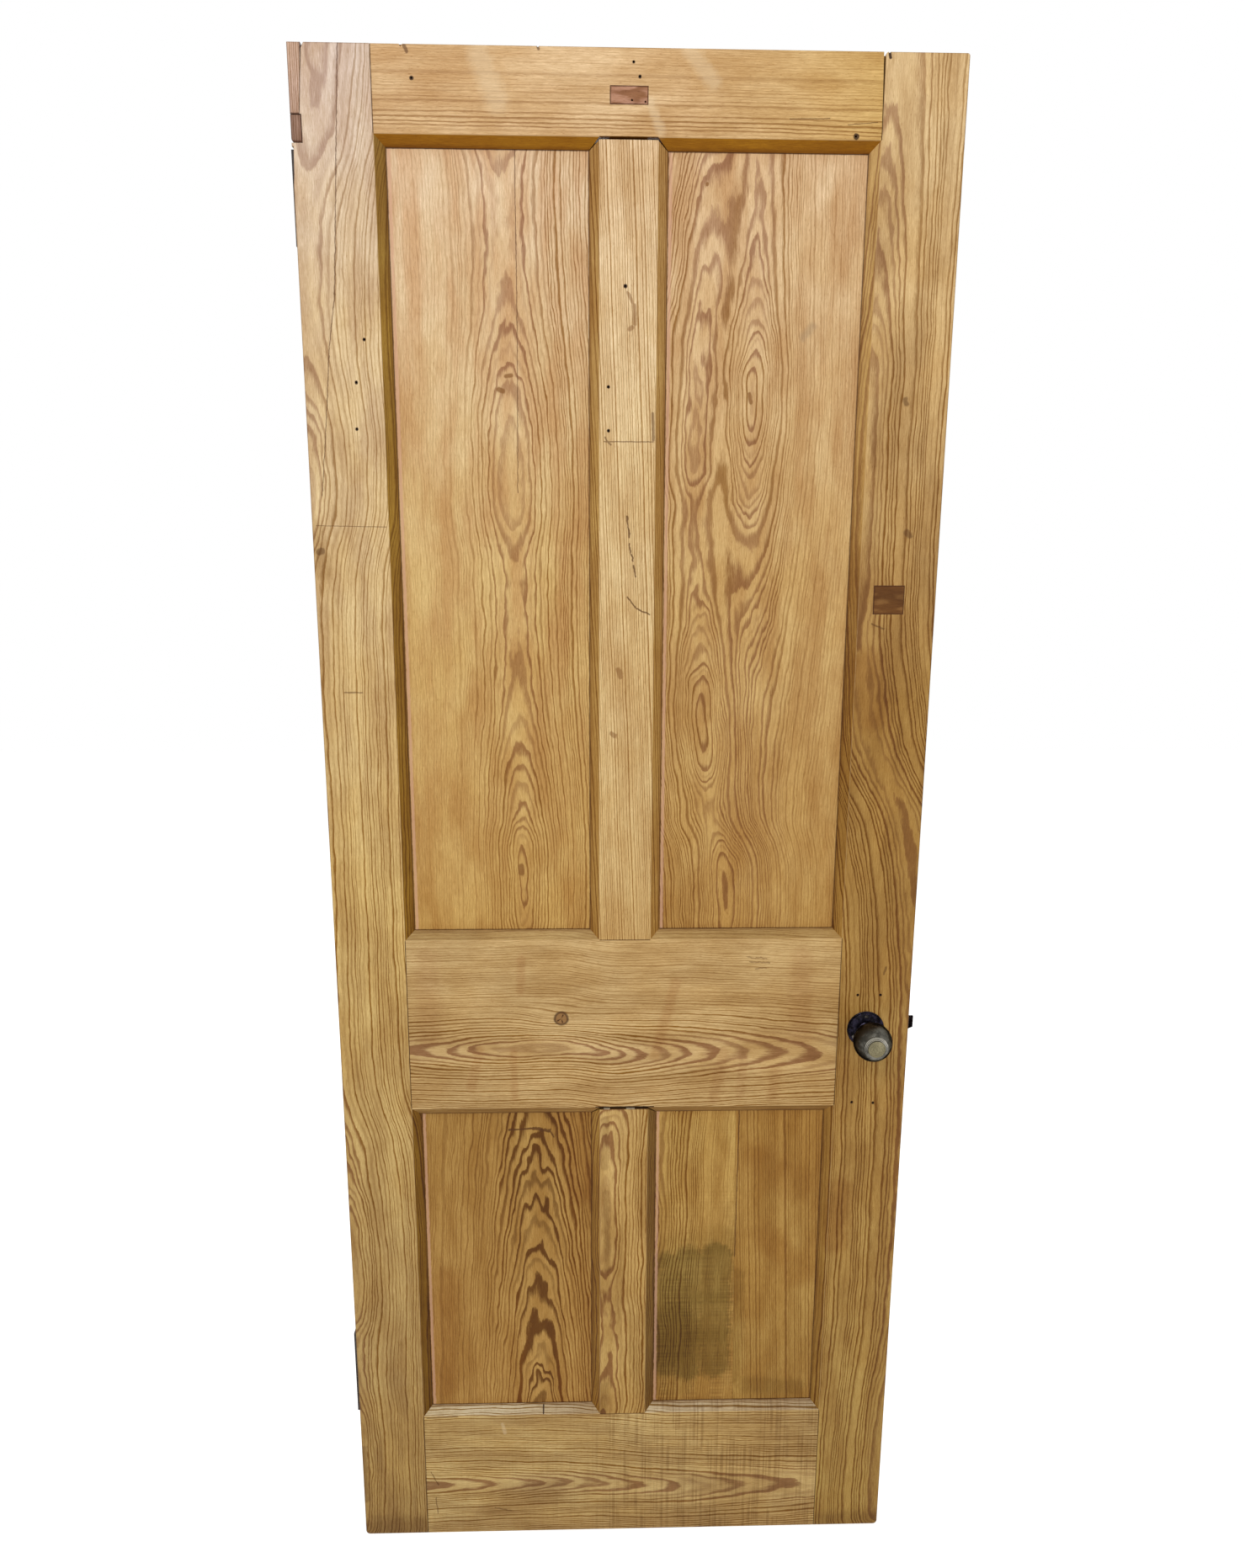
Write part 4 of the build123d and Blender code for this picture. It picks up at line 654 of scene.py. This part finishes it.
        "deep": [(0, (136, 102, 60)), (1000, (172, 132, 74)), (1981, (188, 156, 130))],
        "stains": (
            ((0.66, 0.6, 0.56), 0.8, ((-376, 6, -292, 6, 12, 22, 16), (-379, 150, -379, 60, 2, 5, 5))),
            ((0.7, 0.62, 0.5), 0.6, ((-371, 1405, -378, 1460, 5, 8, 6),)),
        ),
        "marks": (
            ("nailHoleAndGapShade", 0.95, ((-322.3, 1572, -322.3, 1571.6, 1.6, 0.8, 0),
                            (-320.5, 1624.5, -320.5, 1624, 1.6, 0.8, 0),
                            (-309.2, 1672, -309.2, 1671.6, 1.4, 0.8, 0))),
            ("dark", 0.75, ((-325, 1982, -341, 1720, 0.35, 0.5, 3), (-341, 1720, -350, 1664, 0.3, 0.5, 3),
                            (-350, 1664, -359, 1569, 0.3, 0.5, 3),
                            (-359, 1569, -367, 1495, 0.25, 0.5, 3))),
            ("dark", 0.6, ((-375.8, 1460.2, -292.6, 1458.9, 0.25, 0.5, 2),
                           (-352, 1257.7, -330, 1257.8, 0.5, 0.9, 4),
                           (-372, 1430, -374, 1429, 3, 2, 4))),
        ),
    },
    "lock_stile": {
        "upright": True, "face": -19, "seed": 10.2, "ringWidth": 4.2, "bend": 5, "ripple": 1.4,
        "wave": ((286, 3.4), (381, 2.8)), "contrast": 1.1,
        "pithAcross": [(0, 386), (820, 392), (1040, 372), (1240, 300), (1500, 276), (1720, 284),
                       (1981, 296)],
        "pithDepth": [(0, 42), (120, 34), (420, 46), (820, 44), (1040, 40), (1240, 42), (1500, 34),
                      (1720, 46), (1981, 62)],
        "fade": [(0, 1), (1300, 1), (1700, 0.8), (1981, 0.7)],
        "middle": 900, "bevels": ((0.88, 0.82, 0.64), (0.88, 0.82, 0.64)),
        "pale": [(0, (178, 146, 80)), (700, (180, 142, 78)), (1250, (170, 131, 68)),
                 (1700, (212, 178, 124)), (1981, (220, 190, 142))],
        "deep": [(0, (142, 102, 46)), (1250, (132, 92, 38)), (1981, (176, 138, 90))],
        "stains": (
            ((0.66, 0.6, 0.56), 0.7, ((292, 4, 376, 6, 9, 18, 14),)),
            ((0.74, 0.6, 0.46), 0.6, ((300, 1290, 310, 1230, 10, 24, 9), (300, 560, 296, 480, 8, 22, 9))),
        ),
        "marks": (
            ("nailHoleAndGapShade", 0.95, ((309.7, 694, 309.7, 693.6, 1.6, 0.8, 0),
                            (310.2, 850.7, 310.2, 850.4, 1.6, 0.8, 0),
                            (338.9, 692.6, 338.9, 692.4, 1.4, 0.8, 0),
                            (340.8, 850.6, 340.8, 850.4, 1.4, 0.8, 0),
                            (290, 1979, 291, 1975, 1.2, 1, 0))),
            ("dark", 0.6, ((340, 1455, 344, 1452, 2.6, 3, 5), (329, 1610, 331, 1605, 1.6, 2.4, 5),
                           (303, 1344, 318, 1338, 0.6, 1, 4), (346, 890, 344, 880, 0.8, 1, 4))),
        ),
    },
}
# Old repairs and wedges, of plain straight wood
repairs = {
    "hinge_edge_fillet": {"pale": (204, 174, 154), "deep": (166, 134, 118),
                          "rim": (-390, -366.2, 1909.2, 1990)},
    "hinge_edge_block": {"pale": (156, 124, 106), "deep": (116, 88, 74), "rim": (-390, -369, 1881, 1909)},
    "lock_stile_plug": {"pale": (146, 106, 60), "deep": (112, 78, 42),
                        "rim": (303.8, 341.8, 1355.9, 1390.9)},
    "top_rail_patch": {"pale": (204, 160, 134), "deep": (172, 128, 110),
                       "rim": (-23.5, 19.5, 1923.5, 1942.5)},
    "top_rail_wedges": {"pale": (190, 150, 96), "deep": (150, 110, 64)},
    "lock_rail_wedges": {"pale": (190, 150, 96), "deep": (150, 110, 64)},
    "bottom_rail_wedges": {"pale": (190, 150, 96), "deep": (150, 110, 64)},
}
for repairName, repair in repairs.items():
    boards[repairName] = {
        "upright": repairName.startswith("hinge_edge"), "face": -19, "seed": len(boards) * 1.7,
        "ringWidth": 2.6, "contrast": 0.8, "bend": 2, "ripple": 0.5, "pithAcross": [(0, -700), (1, -700)],
        "pithDepth": [(0, 120), (1, 120)], "pale": [(0, repair["pale"])], "deep": [(0, repair["deep"])],
        "flecks": 0.6, "worked": 0, "mottle": 0.8,
    }
    if "rim" in repair:
        boards[repairName]["panel"] = repair["rim"]
        boards[repairName]["filler"] = 0.0
for board in boards.values():
    board.setdefault("lineTint", lineTint)
    board.setdefault("ridgeTint", ridgeTint)
for name, board in boards.items():
    wear(name, pineBoard(name + "Pine", board))
print("boards finished")

metals = {
    "knobMetal": {
        "on": ("front_knob", "back_knob"), "patch": 14, "dark": (56, 54, 48), "worn": (98, 96, 88),
        "speck": (92, 44, 34), "specks": 0.35, "rough": 0.3, "metallic": 1.0,
        "rim": (0.22, 0.18, 0.14), "rings": (15.3, 13.9, 12.5), "crest": (196, 192, 180),
        "tipPale": (136, 128, 100), "tipDark": (92, 86, 66),
    },
    "roseMetal": {
        "on": ("front_rose", "back_rose"), "patch": 8, "dark": (15, 14, 17), "worn": (44, 41, 54),
        "speck": (60, 30, 26), "specks": 0.5, "rough": 0.26, "metallic": 1.0, "rim": (0.12, 0.1, 0.12),
    },
    "hingeMetal": {
        "on": ("upper_hinge_door_leaf", "upper_hinge_frame_leaf", "upper_hinge_pin",
               "lower_hinge_door_leaf", "lower_hinge_frame_leaf", "lower_hinge_pin"),
        "patch": 16, "dark": (46, 42, 41), "worn": (66, 60, 57), "speck": (96, 52, 32), "specks": 0.8,
        "rough": 0.55, "metallic": 0.6,
    },
    "screwMetal": {
        "on": ("upper_hinge_screws", "lower_hinge_screws", "latch_faceplate_screws", "latch_cover_screws",
               "front_rose_screws", "back_rose_screws", "knob_grub_screws"),
        "patch": 4, "dark": (60, 56, 54), "worn": (120, 114, 108), "speck": (98, 58, 38), "specks": 0.6,
        "rough": 0.42, "metallic": 0.85,
    },
    "latchMetal": {
        "on": ("latch_case", "latch_case_cover", "latch_faceplate", "latch_follower", "spindle"),
        "patch": 10, "dark": (84, 80, 77), "worn": (112, 107, 102), "speck": (104, 64, 40),
        "specks": 0.4, "rough": 0.42, "metallic": 0.9,
    },
    "boltMetal": {
        "on": ("latch_bolt",), "patch": 8, "dark": (20, 17, 18), "worn": (40, 36, 38),
        "speck": (62, 38, 30), "specks": 0.5, "rough": 0.36, "metallic": 1.0, "rim": (0.2, 0.16, 0.14),
    },
    "springMetal": {
        "on": ("latch_spring",), "patch": 3, "dark": (96, 92, 88), "worn": (150, 146, 140),
        "speck": (90, 60, 40), "specks": 0.2, "rough": 0.3, "metallic": 1.0,
    },
}


def oldMetal(name, metal):
    material, tree, shader, x, y, z = startMaterial(name)
    marks = useGroup(tree, metalWear, {
        "X": x, "Y": y, "Z": z, "Patch": metal["patch"], "Seed": len(metal["on"]),
    })
    colour = mixColour(tree, marks["Worn"], linear(metal["dark"]), linear(metal["worn"]))
    colour = paint(tree, marks["Speck"] * metal["specks"], colour, metal["speck"])
    if "rings" in metal:  # the knob's turned rings and its brass tip, with a painted highlight on each ring's crest, stronger on the upper side
        out = abs(y) - faceOut
        radius = ((x - knobAcross) * (x - knobAcross) + (z - knobUp) * (z - knobUp)) ** 0.5
        tip = out.step(62.4, 63.2) * radius.step(11.3, 11.6, 1, 0)
        brass = mixColour(tree, marks["Scratch"], linear(metal["tipPale"]), linear(metal["tipDark"]))
        colour = mixColour(tree, tip, colour, brass)
        for ring in metal["rings"]:
            # painted highlight along the ring's crest, brighter toward the upper side, where the lamp falls
            crest = abs(radius - ring + 0.25).step(0.25, 0.5, 1, 0) * out.above(58)
            upper = (z - knobUp).step(-4, 8, 0.15, 0.85)
            colour = paint(tree, crest * upper, colour, metal["crest"])
    tree.links.new(colour, shader.inputs["Base Color"])
    shader.inputs["Metallic"].default_value = metal["metallic"]
    # rim, where given, tints the reflections at the edges dark: a painted darker reflection, standing in for
    # a darker room than the white world
    shader.inputs["Specular Tint"].default_value = (*metal.get("rim", (1, 1, 1)), 1)
    rough = metal["rough"] + marks["Scratch"] * 0.12 + marks["Speck"] * 0.2
    plug(tree, rough, shader.inputs["Roughness"])
    bump = tree.nodes.new("ShaderNodeBump")
    bump.inputs["Strength"].default_value = 0.3
    bump.inputs["Distance"].default_value = 0.0003
    plug(tree, marks["Worn"] * -0.5 + marks["Scratch"] * 0.2, bump.inputs["Height"])
    tree.links.new(bump.outputs[0], shader.inputs["Normal"])
    return material


for name, metal in metals.items():
    material = oldMetal(name, metal)
    for nodeName in metal["on"]:
        wear(nodeName, material)
print("metals finished")

cameraSettings = {
    "place": (-0.047948, -1.440887, 1.462331),  # metres, solved from the photograph
    "pitch": 12.7395567, "yaw": 1.69090864, "roll": 0.2638053,
    "lens": 26.278, "sensor": 36.0,
}


def addCamera():
    pitch, yaw, roll = (math.radians(cameraSettings[key]) for key in ("pitch", "yaw", "roll"))
    forward = Vector((math.sin(yaw) * math.cos(pitch), math.cos(yaw) * math.cos(pitch), -math.sin(pitch)))
    level = Vector((math.cos(yaw), -math.sin(yaw), 0))
    upward = level.cross(forward)
    right = level * math.cos(roll) + upward * math.sin(roll)
    up = upward * math.cos(roll) - level * math.sin(roll)
    turn = Matrix((right, up, -forward)).transposed().to_4x4()
    data = bpy.data.cameras.new("camera")
    data.lens, data.sensor_width = cameraSettings["lens"], cameraSettings["sensor"]
    camera = bpy.data.objects.new("camera", data)
    camera.matrix_world = Matrix.Translation(cameraSettings["place"]) @ turn
    bpy.context.scene.collection.objects.link(camera)
    bpy.context.scene.camera = camera


lightSettings = {
    "world": 0.62,
    "key": {"place": (-0.7, -2.4, 3.3), "target": (0, 0, 1.35), "size": 1.6, "power": 46},
    "fill": {"place": (1.6, -2.4, 1.2), "target": (0, 0, 0.9), "size": 1.6, "power": 10},
    "rear": {"place": (0.6, 2.6, 2.4), "target": (0, 0, 1.1), "size": 2.0, "power": 34},
}


def addLight(name, setting):
    data = bpy.data.lights.new(name, "AREA")
    data.size, data.energy = setting["size"], setting["power"]
    light = bpy.data.objects.new(name, data)
    place = Vector(setting["place"])
    aim = (Vector(setting["target"]) - place).to_track_quat("-Z", "Y")
    light.matrix_world = Matrix.Translation(place) @ aim.to_matrix().to_4x4()
    bpy.context.scene.collection.objects.link(light)


def whiteToView(tree):  # 1 for rays that should meet a white background
    path = tree.nodes.new("ShaderNodeLightPath")
    seen = Field(tree, path.outputs["Is Camera Ray"])
    for label in ("Is Glossy Ray", "Is Transmission Ray"):
        seen = seen.highest(Field(tree, path.outputs[label]))
    return seen


def addWorld():
    world = bpy.data.worlds.new("studio")
    world.use_nodes = True
    tree = world.node_tree
    tree.nodes["Background"].inputs["Color"].default_value = (1, 1, 1, 1)
    strength = whiteToView(tree) * (1 - lightSettings["world"]) + lightSettings["world"]
    plug(tree, strength, tree.nodes["Background"].inputs["Strength"])
    bpy.context.scene.world = world


def addFloor():
    sheet = bmesh.new()
    bmesh.ops.create_grid(sheet, x_segments=1, y_segments=1, size=6)
    mesh = bpy.data.meshes.new("floor")
    sheet.to_mesh(mesh)
    sheet.free()
    floor = bpy.data.objects.new("floor", mesh)
    bpy.context.scene.collection.objects.link(floor)
    material = bpy.data.materials.new("paleFloor")
    material.use_nodes = True
    tree = material.node_tree
    tree.nodes.clear()
    output = tree.nodes.new("ShaderNodeOutputMaterial")
    diffuse = tree.nodes.new("ShaderNodeBsdfDiffuse")
    diffuse.inputs["Color"].default_value = (0.8, 0.8, 0.8, 1)
    glow = tree.nodes.new("ShaderNodeEmission")
    plug(tree, whiteToView(tree) * 0.55, glow.inputs["Strength"])
    both = tree.nodes.new("ShaderNodeAddShader")
    tree.links.new(diffuse.outputs[0], both.inputs[0])
    tree.links.new(glow.outputs[0], both.inputs[1])
    tree.links.new(both.outputs[0], output.inputs["Surface"])
    mesh.materials.append(material)


addCamera()
for lightName in ("key", "fill", "rear"):
    addLight(lightName, lightSettings[lightName])
addWorld()
addFloor()
bpy.context.scene.view_settings.view_transform = "Standard"
print("camera, lights and floor placed")
